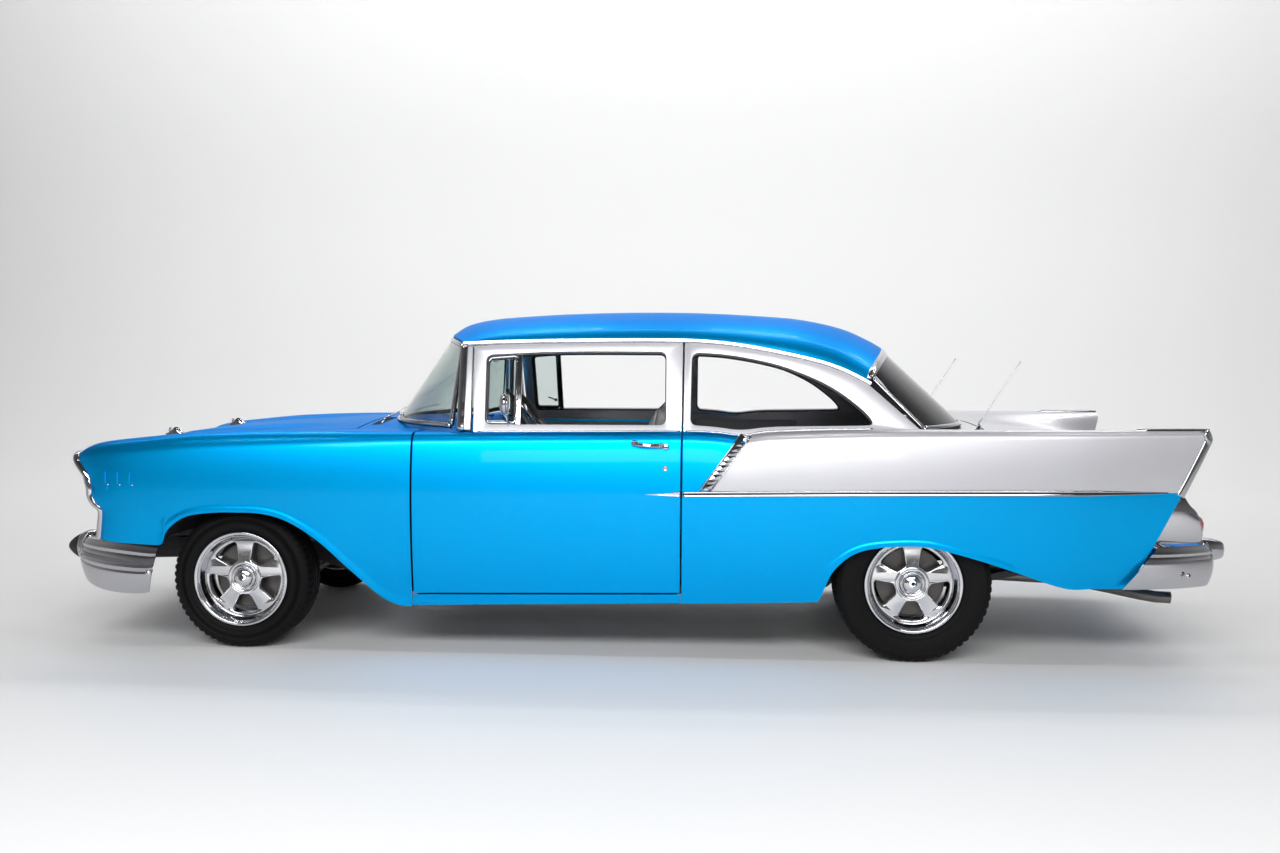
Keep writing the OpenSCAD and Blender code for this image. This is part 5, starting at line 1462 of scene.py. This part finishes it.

# ---- Headlamps ----
# Each is a round chromed shell leaning back under the fender's brow, with a rolled ring, a fluted lens and a
# dished surround that fills the fender's nose. The surround is near-black, painted shade for the hollow round
# the lamp.
lamp_glass = finish("headlamp_glass", (0.93, 0.95, 0.96), 0.04, cell=10, colour_play=0.03, bump=0.3,
                    transmission_weight=0.85, coat_weight=1.0)
for side, hand in HANDS:
    axis = np.array([-math.cos(math.radians(12)), 0, -math.sin(math.radians(12))])
    seat = np.array([-2372.0, side * 744, 735])
    shell = turned([(0, -30), (88, -30), (92, 0), (93, 12), (90, 19), (84, 22), (79, 19), (77, 12), (70, 4),
                    (0, -8)], 96)
    make(f"headlamp_shell_{hand}", *placed(shell, seat, axis), chrome, "car_body", "chrome",
         ["headlamps"] if side < 0 else [])
    lens_piece = turned([(0, 22), (20, 21.4), (40, 19.5), (60, 16), (74, 11), (77, 7), (74, 4), (0, 6)], 72)
    make(f"headlamp_lens_{hand}", *placed(lens_piece, seat, axis), lamp_glass, "car_body", "clear_glass")
    # The dished surround is painted shade: near-black for the hollow under the brow
    dish = placed(turned([(92, -8), (128, -14), (130, -18), (128, -22), (90, -16)], 96), seat + (26, 0, -2),
                  (-1, 0, 0))
    points, faces = dish
    points[:, 2] = np.minimum(points[:, 2], 842)
    widest = side_y(np.maximum(points[:, 0], -2330), points[:, 2]) - 16
    points[:, 1] = side * np.minimum(side * points[:, 1], widest)
    make(f"headlamp_surround_{hand}", points, faces, painted_recess_shade, "car_body", "black_plastic")

    studs = [placed(turned([(0, -4), (5, -4), (4.6, 1), (2.5, 2.6), (0, 3)], 20),
                    (x, side_y(x, 723), 723), (0, 1, 0)) for x in (-2256, -2199, -2142)]
    make(f"louvre_studs_{hand}", *on_side(join(*studs), side), chrome, "car_body", "chrome")

# ---- Handles, mirrors, aerials and wipers ----
# Cast chrome handles with a round push button over a key lock, a round mirror on an oval foot on the left
# belt, two thin aerials on the quarters, and two wipers parked at the foot of the glass.
for side, hand in HANDS:
    body = f"door_{hand}"
    grip = []
    for x in np.linspace(40, 150, 20):
        t = (x - 40) / 110
        y = side_y(x, 926) + 3 + 20 * math.sin(math.pi * min(1, t * 1.02)) ** 0.55
        grip.append((x, y, 928 - 8 * t))
    handle = strip(grip, (0, 1, 0.15), [(9, -3), (9, 2), (5, 5), (-5, 5), (-9, 2), (-9, -3)])
    feet = [placed(turned([(0, -6), (15, -6), (14, 4), (10, 9), (0, 9)], 24),
                   (x, side_y(x, 926), z), (0, 1, 0)) for x, z in ((42, 929), (152, 919))]
    button = placed(turned([(0, -6), (13, -6), (13, 12), (11, 15), (6, 16), (0, 16)], 24),
                    (176, side_y(176, 916), 916), (0, 1, 0.1))
    lock = placed(turned([(0, -4), (12, -4), (12, 3), (9, 5), (6.5, 4), (0, 4)], 24),
                  (174, side_y(174, 826), 826), (0, 1, 0))
    make(f"door_handle_{hand}", *on_side(join(handle, *feet, button, lock), side), chrome, body, "chrome",
         edge=0.8)
    aerial_base = placed(turned([(0, -6), (15, -6), (15, 2), (9, 10), (6, 26), (0, 28)], 32),
                         (1499, 780, top_z(1499, 780)), (0.3, 0, 1))
    mast = tube([(1499 + 170 * t, 780, 1016 + 266 * t) for t in np.linspace(0, 1, 12)], 2.6, 10, 0.45)
    ball = placed(turned([(0, -3), (2.2, -2.2), (3, 0), (2.2, 2.2), (0, 3)], 16), (1670, 780, 1284),
                  (0, 0, 1))
    make(f"aerial_{hand}", *on_side(join(aerial_base, mast, ball), side), chrome, "car_body", "chrome")
mirror_y = -lean_y(1000) - 14
foot = placed(turned([(0, -3), (26, -3), (26, 2), (20, 8), (10, 13), (0, 14)], 40),
              (-505, mirror_y + 26, 972), (0, -0.5, 1))
foot_points, foot_faces = foot
foot_points[:, 0] = (foot_points[:, 0] + 505) * 1.5 - 505
arm = tube([(-507, mirror_y + 20, 985), (-512, mirror_y + 2, 1020), (-520, mirror_y - 14, 1062)], 5.5, 14,
           0.8)
head = placed(turned([(0, 0), (44, 0), (50, 4), (52, 10), (48, 20), (34, 30), (16, 35), (0, 36)], 64),
              (-505, mirror_y - 20, 1088), (-1, 0, 0))
make("mirror_and_arm", *join((foot_points, foot_faces), arm, head), chrome, "door_left", "chrome")
mirror_glass = finish("mirror_glass", (0.85, 0.87, 0.88), 0.02, 1.0, cell=50, colour_play=0.02)
make("mirror_face", *placed(turned([(0, 0), (43, 0), (43, 2), (0, 2)], 64), (-503.5, mirror_y - 20, 1088),
                            (1, 0, 0)), mirror_glass, "door_left", "chrome")
wipers = []
for y0, reach in ((-430, 330), (60, 330)):
    share = np.linspace(0, 1, 16)
    w = (y0 + reach * share) / 836
    x, y, z = bent_glass(windshield_foot, 0)(0.06 + 0.05 * share, w)
    blade_line = np.stack([x - 10, y, z + 9], 1)
    wipers.append(tube(blade_line, 3.5, 8))
    wipers.append(tube([(-1168, y0, 972), (-1150, y0 + 30, 1000), tuple(blade_line[7])], 4, 8))
    wipers.append(placed(turned([(0, 0), (14, 0), (12, 12), (0, 15)], 24), (-1168, y0, 962), (0, 0, 1)))
make("wipers", *join(*wipers), polished, "car_body", "chrome")

# ---- Cabin floor and sills ----
# A pressed steel floor with a raised shaft tunnel, a step up under the rear bench and a lower luggage floor,
# all welded between the sills. It wears loop carpet in front, and ribbed bright plates lie on the sills.
undercoat = finish("floor_undercoat", (0.03, 0.031, 0.034), 0.75, cell=9, colour_play=0.3, bump=0.8)
carpet = finish("charcoal_loop_carpet", (0.035, 0.036, 0.04), 0.95, cell=3, colour_play=0.35, bump=1.2,
                sheen_weight=0.3)
FLOOR_FRONT, STEP_X, LUGGAGE_X = -988, 742, 1636
across_floor = np.concatenate([np.linspace(-790, -110, 24), np.linspace(-104, -72, 8),
                               np.linspace(-60, 60, 7), np.linspace(72, 104, 8), np.linspace(110, 790, 24)])


def floor_low(y):
    return np.interp(np.abs(y), [0, 72, 82, 96, 106], [410, 410, 400, 314, 304])


def cabin_floor(u, v):
    return mix(FLOOR_FRONT, STEP_X, u), v, floor_low(v)


def cabin_carpet(u, v):
    return mix(FLOOR_FRONT + 6, STEP_X - 6,
               u), v * 0.985, floor_low(v) + 9 + 1.2 * np.sin(u * 40) * np.sin(v / 60)


rear_profile = [[742, 304], [742, 500], [746, 504], [1632, 504], [1636, 500], [1636, 448], [1640, 444],
                [2154, 444]]
rear_run = np.array(rear_profile, float)
rear_steps = np.concatenate([[0], np.cumsum(np.hypot(*np.diff(rear_run, axis=0).T))])


def rear_floor(u, v):
    run = u * rear_steps[-1]
    x, z = np.interp(run, rear_steps, rear_run[:, 0]), np.interp(run, rear_steps, rear_run[:, 1])
    ribs = np.where(x > LUGGAGE_X + 20, 4 * smooth(np.clip(2 - np.abs((v % 100) - 50) / 8, 0, 1)), 0)
    return x, v, z + ribs


def sill_cover(u, v, drop=0.0):
    x = mix(-900, 228, u)
    top = door_low(x) - 8
    return x, mix(789, side_y(x, top) - 4, v), top - drop * (top - 226 - 0.028 * (x + 908))


rear_us = np.unique(np.concatenate([rear_steps / rear_steps[-1], np.linspace(0, 1, 16)]))
make("cabin_floor", *skin(cabin_floor, 6, across_floor, 8), undercoat, "car_body", "floor_steel",
     ["floor_pan"])
make("rear_floor", *skin(rear_floor, rear_us, np.linspace(-560, 560, 113), 8), undercoat, "car_body",
     "floor_steel")
wells = box_pair((1800, 556, 440), (2262, 862, 450), 4)
make("luggage_wells", *join(*wells, box_piece((2148, -862, 441), (2276, 862, 451), 4)), undercoat, "car_body",
     "floor_steel")
make("cabin_carpet", *skin(cabin_carpet, 36, across_floor, 7), carpet, "car_body", "grey_vinyl")
for side, hand in HANDS:
    box = skin(sill_cover, 40, 4, inner=lambda u, v: sill_cover(u, v, 1.0))
    make(f"sill_box_{hand}", *on_side(box, side), azure, "car_body", "blue_paint", edge=1.5)
    ribs = [tube([(-760, 803 + 9 * k, door_low(-760) - 5), (-270, 803 + 9 * k, door_low(-270) - 5),
                  (150, 803 + 9 * k, door_low(150) - 5)], 1.8, 8) for k in range(5)]
    make(f"sill_plate_{hand}", *on_side(join(*ribs), side), polished, "car_body", "chrome")

# ---- Dashboard and column ----
# A painted steel dash with a padded vinyl top, a hooded panel of three round instruments, a plain radio and
# a glove box lid, and the collared steering column below it. The pedals hang under the dash.
dial_black = finish("dial_black", (0.02, 0.021, 0.024), 0.5, cell=4, colour_play=0.2)
dial_white = finish("dial_white", (0.8, 0.8, 0.78), 0.5, cell=4)


def crosswise(profile, half, bow=0.0, count=41):
    """A closed bar from an [x, z] profile that runs across the car, its ends swept back by bow."""
    profile = np.asarray(profile, float)
    ys = np.linspace(-half, half, count)
    rings = [np.stack([profile[:, 0] + bow * (y / half) ** 2, np.full(len(profile), y), profile[:, 1]],
                      1) for y in ys]
    return lofted(rings)


dash_face = rounded([(-965, 890), (-965, 770), (-775, 770), (-792, 800), (-800, 862), (-800, 890)], 12)
dash_pad = rounded([(-968, 904), (-968, 886), (-800, 886), (-786, 872), (-766, 874), (-764, 892),
                    (-790, 906)], 8)
make("dash_panel", *crosswise(dash_face, 772, -20), azure, "car_body", "blue_paint", ["dashboard"], angle=50)
make("dash_pad", *crosswise(dash_pad, 774, -20), trim_grey, "car_body", "grey_vinyl", angle=50)
dash_face_x = -794
gauge_board = placed(flat_plate(oblong(180, 36, 30), [], 16, 4),
                   (dash_face_x - 6, -380, 842), (1, 0, -0.08), (0, 0, 1))
make("instrument_panel", *gauge_board, black_trim_and_opening_shade, "car_body", "black_plastic")
gauge_rings, gauge_faces, gauge_marks = [], [], []
for y, radius in ((-380, 32), (-500, 24), (-260, 24)):
    centre = np.array([dash_face_x + 12, y, 842.0])
    ring = [[radius, 0], [radius + 4, 1], [radius + 5, 5], [radius + 3, 9], [radius, 8]]
    gauge_rings.append(placed(turned(ring, 64), centre, (1, 0, -0.08)))
    gauge_faces.append(placed(turned([(0, 0), (radius + 1, 0), (radius + 1, 2), (0, 2)], 64), centre,
                              (1, 0, -0.08)))
    for k in range(9):
        a = math.radians(-120 + 30 * k)
        reach = np.array([0, math.sin(a), math.cos(a)])
        gauge_marks.append(tube([centre + (3, 0, 0) + reach * radius * 0.75,
                                 centre + (3, 0, 0) + reach * radius * 0.92], 0.9, 6))
    needle = np.array([0, -0.7, 0.7]) * radius * 0.8
    gauge_marks.append(tube([centre + (4, 0, 0), centre + (4, 0, 0) + needle], 0.8, 6))
knobs = [placed(turned([(0, 0), (9, 0), (11, 4), (11, 14), (8, 18), (0, 19)], 32), (dash_face_x, y, z),
                (1, 0, 0)) for y, z in ((-70, 815), (70, 815), (-140, 800), (140, 800))]
radio = [placed(flat_plate(oblong(62, 18, 6), [], 10, 2),
                (dash_face_x - 2, 0, 850), (1, 0, -0.08))]
glove_lid = placed(flat_plate(oblong(150, 32, 14), [], 8, 3),
                   (dash_face_x - 1, 400, 838), (1, 0, -0.08))
glove_lock = placed(turned([(0, 0), (10, 0), (10, 4), (0, 5)], 32), (dash_face_x + 6, 400, 860), (1, 0, 0))
make("gauge_rings_and_knobs", *join(*gauge_rings, *knobs, glove_lock), chrome, "car_body", "chrome")
make("gauge_faces", *join(*gauge_faces, *radio), dial_black, "car_body", "black_plastic")
make("gauge_marks", *join(*gauge_marks), dial_white, "car_body", "silver_paint")
make("glove_box_lid", *glove_lid, azure, "car_body", "blue_paint")
HUB = np.array([-440.0, -380.0, 965.0])
AXIS = np.array([math.cos(math.radians(36)), 0.0, math.sin(math.radians(36))])
collar = [(0, -650), (24, -650), (24, -130), (28, -120), (34, -60), (34, -38), (30, -34), (10, -34),
          (10, -2), (0, -2)]
make("steering_column", *placed(turned(collar, 64), HUB, AXIS), trim_grey, "car_body", "grey_trim")
stalk = [HUB - 70 * AXIS + (0, -30, 0), HUB - 62 * AXIS + (0, -90, 6), HUB - 50 * AXIS + (0, -165, 14)]
shifter = [HUB - 95 * AXIS + (0, 28, 0), HUB - 80 * AXIS + (0, 110, 12), HUB - 40 * AXIS + (0, 190, 40)]
make("column_levers", *join(tube(stalk, 4), tube(shifter, 5)), chrome, "car_body", "chrome")
lever_knobs = [placed(turned([(0, -14), (7, -12), (9, 0), (7, 12), (0, 14)], 24), end, (0, way, 0.2))
               for end, way in ((stalk[-1], -1), (shifter[-1], 1))]
make("lever_knobs", *join(*lever_knobs), black_trim_and_opening_shade, "car_body", "black_plastic")
pedals = []
for y, width, reach, low in ((-430, 45, -800, 400), (-310, 60, -800, 400), (-205, 32, -820, 345)):
    pedals.append(tube([(-900, y, 780), (-880, y, 640), (reach - 20, y, low + 40)], 7, 10))
    pedals.append(box_piece((reach - 26, y - width, low), (reach - 10, y + width, low + 62), 6))
make("pedals", *join(*pedals), rubber, "car_body", "black_plastic")

# ---- Steering wheel ----
# A grey moulded rim with finger grips on three tapered metal spokes, pressed on the shaft, with a bright
# horn cap and a half ring. It turns with the column.
grip_grey = finish("moulded_grip_grey", (0.075, 0.072, 0.066), 0.42, cell=3, colour_play=0.15, bump=0.08)
grip_around = [(212 + 13 * math.cos(a), 13 * math.sin(a)) for a in np.linspace(0, 2 * math.pi, 20,
                                                                               endpoint=False)]


def finger_grips(profile, k):
    return np.where(profile[:, 1] < 0, 1.0, 0.0) * 1.2 * math.cos(k * 2 * math.pi * 60 / 240)


rim_solid = placed(turned(grip_around, 240, finger_grips), HUB, AXIS)
hub_solid = placed(turned([(0, -30), (30, -30), (36, -24), (38, -4), (34, 6), (0, 6)], 64), HUB, AXIS)
make("steering_wheel_rim", *join(rim_solid, hub_solid), grip_grey, "steering_wheel", "black_plastic",
     ["steering_wheel"])
wheel_y = np.cross(AXIS, [0, 1, 0])
spokes = []
for degrees in (60, 180, 300):
    a = math.radians(degrees)
    out = math.sin(a) * np.array([0, 1, 0]) - math.cos(a) * wheel_y
    spread = np.cross(AXIS, out)
    for offset in (-7, 7):
        spokes.append(tube([HUB + out * 26 + spread * offset * 1.4 - AXIS * 2,
                            HUB + out * 120 + spread * offset - AXIS * 6,
                            HUB + out * 206 + spread * offset * 0.8], 6, 12))
cap = placed(turned([(0, 2), (32, 4), (34, 9), (28, 18), (14, 24), (0, 25)], 64), HUB, AXIS)
half_ring = [HUB + 120 * (math.sin(a) * np.array([0, 1, 0]) - math.cos(a) * wheel_y) + AXIS * 6
             for a in np.radians(np.linspace(-75, 75, 40))]
make("steering_wheel_spokes", *join(*spokes, cap, tube(half_ring, 4, 10)), polished, "steering_wheel",
     "chrome")

# ---- Seats ----
# Bench seats in grey vinyl over sprung foam, the front one with a split back. Each pad is a sewn cover
# swollen over its filling, with stitched channels and piping round the faces, on a low steel base.
seat_vinyl = finish("seat_vinyl", (0.34, 0.34, 0.355), 0.46, cell=1.5, colour_play=0.1, rough_play=0.2,
                    bump=0.14)
piping_vinyl = finish("piping_vinyl", (0.42, 0.42, 0.44), 0.45, cell=2.0, colour_play=0.1, bump=0.08)
VOXEL, SWELL_CAP, CHANNEL = 19.0, 24.0, 74.0


def pad_blank(name, size, foot, lean):
    """A rounded slab in its own axes, x through it, remeshed for sewing, with its place in the car."""
    length, width, height = size
    points, faces = box_piece((0, -width / 2, 0), (length, width / 2, height), 0.26 * min(length, height))
    item = make(name, points, faces, seat_vinyl, "car_body", "grey_vinyl")
    remesh = item.modifiers.new("sewn_cover", "REMESH")
    remesh.mode = "VOXEL"
    remesh.voxel_size = VOXEL * MM
    shape = item.evaluated_get(bpy.context.evaluated_depsgraph_get())
    mesh = bpy.data.meshes.new_from_object(shape)
    item.modifiers.clear()
    item.data = mesh
    return item, np.asarray(foot, float), math.radians(lean), size


def swell(pads):
    """Blows the pads up against their covers together, with each point kept near where it began."""
    starts = []
    for item, *place in pads:
        start = np.empty(len(item.data.vertices) * 3)
        item.data.vertices.foreach_get("co", start)
        starts.append(start.reshape(-1, 3))
        cover = item.modifiers.new("cover", "CLOTH")
        cover.settings.quality = 4
        cover.settings.use_pressure = True
        cover.settings.uniform_pressure_force = 4
        cover.settings.effector_weights.gravity = 0
        cover.collision_settings.use_collision = False
        cover.point_cache.frame_start = 1
        cover.point_cache.frame_end = 20
    for moment in range(1, 21):
        bpy.context.scene.frame_set(moment)
    shapes = bpy.context.evaluated_depsgraph_get()
    for (item, *place), start in zip(pads, starts):
        full = bpy.data.meshes.new_from_object(item.evaluated_get(shapes))
        moved = np.empty(len(full.vertices) * 3)
        full.vertices.foreach_get("co", moved)
        step = moved.reshape(-1, 3) - start
        step -= step.mean(axis=0)
        far = np.maximum(np.linalg.norm(step, axis=1, keepdims=True), 1e-9)
        step *= np.minimum(1, SWELL_CAP * MM / far)
        item.modifiers.clear()
        item.data = full
        full.vertices.foreach_set("co", (start + step).ravel())
    bpy.context.scene.frame_set(1)


def sew(pad, front):
    """Presses stitched channels into the side that is sat on, pipes its rim, and sets the pad in place."""
    item, foot, lean, size = pad
    smoother = item.modifiers.new("fine_cover", "SUBSURF")
    smoother.levels = smoother.render_levels = 1
    mesh = bpy.data.meshes.new_from_object(item.evaluated_get(bpy.context.evaluated_depsgraph_get()))
    item.modifiers.clear()
    item.data = mesh
    points = np.empty(len(mesh.vertices) * 3)
    mesh.vertices.foreach_get("co", points)
    points = points.reshape(-1, 3) / MM
    length, width, height = size
    axis = 0 if front else 2
    along, reach = (2, height) if front else (0, length)
    if front:
        depth = np.clip(1 - points[:, 0] / (0.4 * length), 0, 1)
    else:
        depth = np.clip((points[:, 2] - 0.6 * height) / (0.4 * height), 0, 1)
    inside = smooth(np.clip((points[:, along] - 0.14 * reach) / 18, 0, 1))
    inside = inside * smooth(np.clip((0.86 * reach - points[:, along]) / 18, 0, 1))
    inside = inside * smooth(np.clip((0.43 * width - np.abs(points[:, 1])) / 18, 0, 1))
    offset = np.abs((points[:, 1] + width) % CHANNEL - CHANNEL / 2)
    groove = np.exp(-(offset / 9.0) ** 2) * 9.0
    border = (np.exp(-((points[:, along] - 0.13 * reach) / 7) ** 2)
              + np.exp(-((points[:, along] - 0.87 * reach) / 7) ** 2))
    border = border * (np.abs(points[:, 1]) < 0.44 * width)
    sides = np.exp(-((np.abs(points[:, 1]) - 0.44 * width) / 7) ** 2)
    sides = sides * (points[:, along] > 0.13 * reach) * (points[:, along] < 0.87 * reach)
    press = np.clip(depth * 3, 0, 1) * (groove * inside + 6 * np.maximum(border, sides))
    points[:, axis] += press if front else -press
    turn = np.array([[math.cos(lean), 0, math.sin(lean)], [0, 1, 0], [-math.sin(lean), 0, math.cos(lean)]])
    mesh.vertices.foreach_set("co", ((points @ turn.T + foot) * MM).ravel())
    mesh.materials.clear()
    mesh.materials.append(seat_vinyl)
    mesh.shade_smooth()
    mesh.update()
    loop = rounded([(0.05 * reach, -0.485 * width), (0.95 * reach, -0.485 * width),
                    (0.95 * reach, 0.485 * width), (0.05 * reach, 0.485 * width)], 40, 8)
    loop = np.vstack([loop, loop[:1]])
    level = 2.0 if front else height - 2.0
    piping = np.zeros((len(loop), 3))
    piping[:, along], piping[:, 1], piping[:, axis] = loop[:, 0], loop[:, 1], level
    for row in piping:
        near = points[np.argsort(((points[:, [along, 1]] - row[[along, 1]]) ** 2).sum(1))[:60]]
        row[axis] = near[:, axis].min() - 1 if front else near[:, axis].max() + 1
    piping[:, axis] = np.convolve(np.pad(piping[:, axis], 3, "wrap"), np.ones(7) / 7, "valid")
    make(f"{item.name}_piping", *tube(piping @ turn.T + foot, 4.0, 8), piping_vinyl, "car_body", "grey_vinyl")


front_cushion = pad_blank("front_seat_cushion", (490, 1290, 128), (-400, 0, 460), 0)
front_backs = [pad_blank(f"front_seat_back_{hand}", (84, 640, 500), (20, side * 328, 584), 12)
               for side, hand in HANDS]
rear_cushion = pad_blank("rear_seat_cushion", (480, 1110, 82), (450, 0, 518), 0)
rear_back = pad_blank("rear_seat_back", (84, 1110, 300), (908, 0, 580), 18)
swell([front_cushion, *front_backs, rear_cushion, rear_back])
for pad, front in ((front_cushion, False), (front_backs[0], True), (front_backs[1], True),
                   (rear_cushion, False), (rear_back, True)):
    sew(pad, front)
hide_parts("front_seat")
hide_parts("rear_seat")
base = join(*[box_piece((-385, s * 510 - 30, 312), (20, s * 510 + 30, 442), 6) for s in (-1, 1)],
            box_piece((-400, -640, 430), (90, 640, 462), 8), box_piece((452, -550, 508), (925, 550, 522), 4))
make("seat_bases", *base, trim_grey, "car_body", "grey_trim")
hinge_plates = [box_piece((60, s * 648 - 4, 500), (120, s * 648 + 4, 660), 3) for s in (-1, 1)]
make("seat_hinge_plates", *join(*hinge_plates), chrome, "car_body", "chrome")

# ---- Rear-view mirror and visors ----
# A day and night mirror in a bright shell on a stem from the header, and two padded visors in the headliner's
# cloth on bent rods.
header = np.array([float(c[0]) for c in roof_under(np.array([0.045]), np.array([0.0]), 30, 0.96)])
stem = [header + (4, 0, 4), header + (30, 0, -30), header + (46, 0, -62)]
shell = placed(flat_plate(oblong(115, 27, 24), [], 16, 5),
               header + (40, 0, -80), (1, 0, -0.12))
face = placed(flat_plate(oblong(108, 21, 18), [], 2, 0.5),
              header + (49.5, 0, -81), (1, 0, -0.12))
make("cabin_mirror_shell", *join(tube(stem, 6), shell), chrome, "car_body", "chrome")
make("cabin_mirror_glass", *face, mirror_glass, "car_body", "chrome")
visors = []
for side in (-1, 1):
    spot = np.array([float(c[0]) for c in roof_under(np.array([0.12]), np.array([side * 0.4]), 84, 0.96)])
    visors.append(placed(flat_plate(oblong(190, 62, 28), [], 14, 5),
                         spot, (-0.3, side * 0.1, -1), (1, 0, 0)))
make("sun_visors", *join(*visors), headliner_cloth, "car_body", "grey_vinyl")

# ---- Engine bay ----
# An iron V8 in dark orange enamel: a block with two leaning banks, plated rocker covers, an intake with a
# round air cleaner, belt-driven pulleys and a fan, and a black cored radiator ahead of it on the frame.
engine_iron = finish("cast_iron_enamel", (0.11, 0.035, 0.012), 0.5, cell=7, colour_play=0.25, bump=0.5)


def bank_piece(low, high, round_by, side):
    """A rounded block in the axes of one cylinder bank: across, along the car, up the cylinders."""
    return placed(box_piece(low, high, round_by), (-1530, side * 60, 520), (0, side * 0.707, 0.707),
                  (1, 0, 0))


lower_block = [box_piece((-1850, -125, 385), (-1210, 125, 575), 14),
               box_piece((-1820, -150, 370), (-1240, 150, 440), 22),
               box_piece((-1800, -112, 600), (-1260, 112, 742), 16),
               box_piece((-1884, -120, 430), (-1846, 120, 700), 12)]
banks = [bank_piece((-84, -300, 0), (84, 300, 196), 12, side) for side in (-1, 1)]
heads = [bank_piece((-92, -296, 202), (92, 296, 238), 8, side) for side in (-1, 1)]
make("engine_block", *join(*lower_block, *banks, *heads), engine_iron, "car_body", "engine_iron", ["engine"])
covers = [bank_piece((-66, -286, 238), (66, 286, 306), 26, side) for side in (-1, 1)]
cover_fins = [bank_piece((-44 + 22 * k, -240, 300), (-36 + 22 * k, 240, 311), 3, side)
              for side in (-1, 1) for k in range(4)]
cleaner_lid = placed(turned([(0, 0), (165, 0), (172, 5), (172, 9), (160, 14), (60, 20), (16, 22), (14, 34),
                             (0, 36)], 96), (-1530, 0, 842), (0, 0, 1))
cleaner_base = placed(turned([(60, 0), (150, 0), (172, 6), (172, 10), (60, 8)], 96), (-1530, 0, 788),
                      (0, 0, 1))
make("rocker_covers_and_air_cleaner", *join(*covers, *cover_fins, cleaner_lid, cleaner_base), chrome,
     "car_body", "chrome")
filter_ring = turned([(118, 0), (154, 0), (154, 46), (118, 46)], 160, lambda profile, k: 2.5 * (k % 2))
carburettor = turned([(0, 0), (58, 0), (58, 14), (44, 20), (44, 60), (0, 60)], 48)
make("air_filter", *join(placed(filter_ring, (-1530, 0, 797), (0, 0, 1)),
                         placed(carburettor, (-1530, 0, 740), (0, 0, 1))), rubber, "car_body",
     "black_rubber")
groove_wheel = [(0, 0), (0.3, 0), (0.9, 0.1), (1, 0.14), (0.84, 0.2), (1, 0.26), (1, 0.3), (0.3, 0.36),
                (0, 0.36)]
pulleys = []
for y, z, radius in ((0, 470, 84), (0, 650, 68), (-190, 700, 40)):
    pulleys.append(placed(turned([(radius * r, 80 * h) for r, h in groove_wheel], 64), (-1884, y, z),
                          (-1, 0, 0)))
for quarter in range(4):
    a = math.radians(45 + 90 * quarter)
    reach = np.array([0, math.cos(a), math.sin(a)])
    twist = np.array([0.4, -math.sin(a) * 0.9, math.cos(a) * 0.9])
    rows = [(-1932, 0, 650) + reach * r + twist * w for r in np.linspace(34, 182, 8) for w in (-38, 38)]
    points = np.concatenate([rows, np.array(rows) + (-3, 0, 0)])
    sheet = [[2 * k, 2 * k + 1, 2 * k + 3, 2 * k + 2] for k in range(7)]
    rim = [0, 2, 4, 6, 8, 10, 12, 14, 15, 13, 11, 9, 7, 5, 3, 1]
    faces = sheet + [[i + 16 for i in reversed(f)] for f in sheet]
    faces += [[q, p, p + 16, q + 16] for p, q in zip(rim, rim[1:] + rim[:1])]
    pulleys.append((points, faces))
make("engine_pulleys", *join(*pulleys), exhaust_steel, "car_body", "exhaust_steel")
belt_loop = [(-1906, 84 * math.cos(a), 470 + 84 * math.sin(a)) for a in np.radians(np.linspace(180, 360, 16))]
belt_loop += [(-1906, 68 * math.cos(a), 650 + 68 * math.sin(a)) for a in np.radians(np.linspace(0, 180, 16))]
top_hose = [(-1800, 40, 735), (-1880, 90, 772), (-1980, 150, 780), (-2030, 170, 775)]
make("fan_belt_and_hose", *join(tube(belt_loop + belt_loop[:1], 5, 8), tube(top_hose, 21, 16)), rubber,
     "car_body", "black_rubber")
manifolds = [tube([(-1800, s * 290, 590), (-1700, s * 300, 580), (-1400, s * 300, 575), (-1280, s * 290, 540),
                   (-1230, s * 262, 470)], 27, 16) for s in (-1, 1)]
runners = [tube([(x, s * 215, 610), (x + 12, s * 262, 600), (x + 24, s * 296, 585)], 20, 12)
           for s in (-1, 1) for x in (-1790, -1640, -1490, -1340)]
make("exhaust_manifolds", *join(*manifolds, *runners), exhaust_steel, "car_body", "exhaust_steel")
fins = [box_piece((-2064, -296 + 14.8 * k, 430), (-2036, -293 + 14.8 * k, 744), 0.8) for k in range(41)]
radiator = join(box_piece((-2076, -312, 744), (-2024, 312, 800), 16),
                box_piece((-2074, -308, 380), (-2026, 308, 430), 12),
                box_piece((-2072, -312, 400), (-2028, -298, 760), 4),
                box_piece((-2072, 298, 400), (-2028, 312, 760), 4),
                box_piece((-2053, -300, 428), (-2047, 300, 746), 2), *fins)
make("radiator", *radiator, chassis_black, "car_body", "frame_steel")
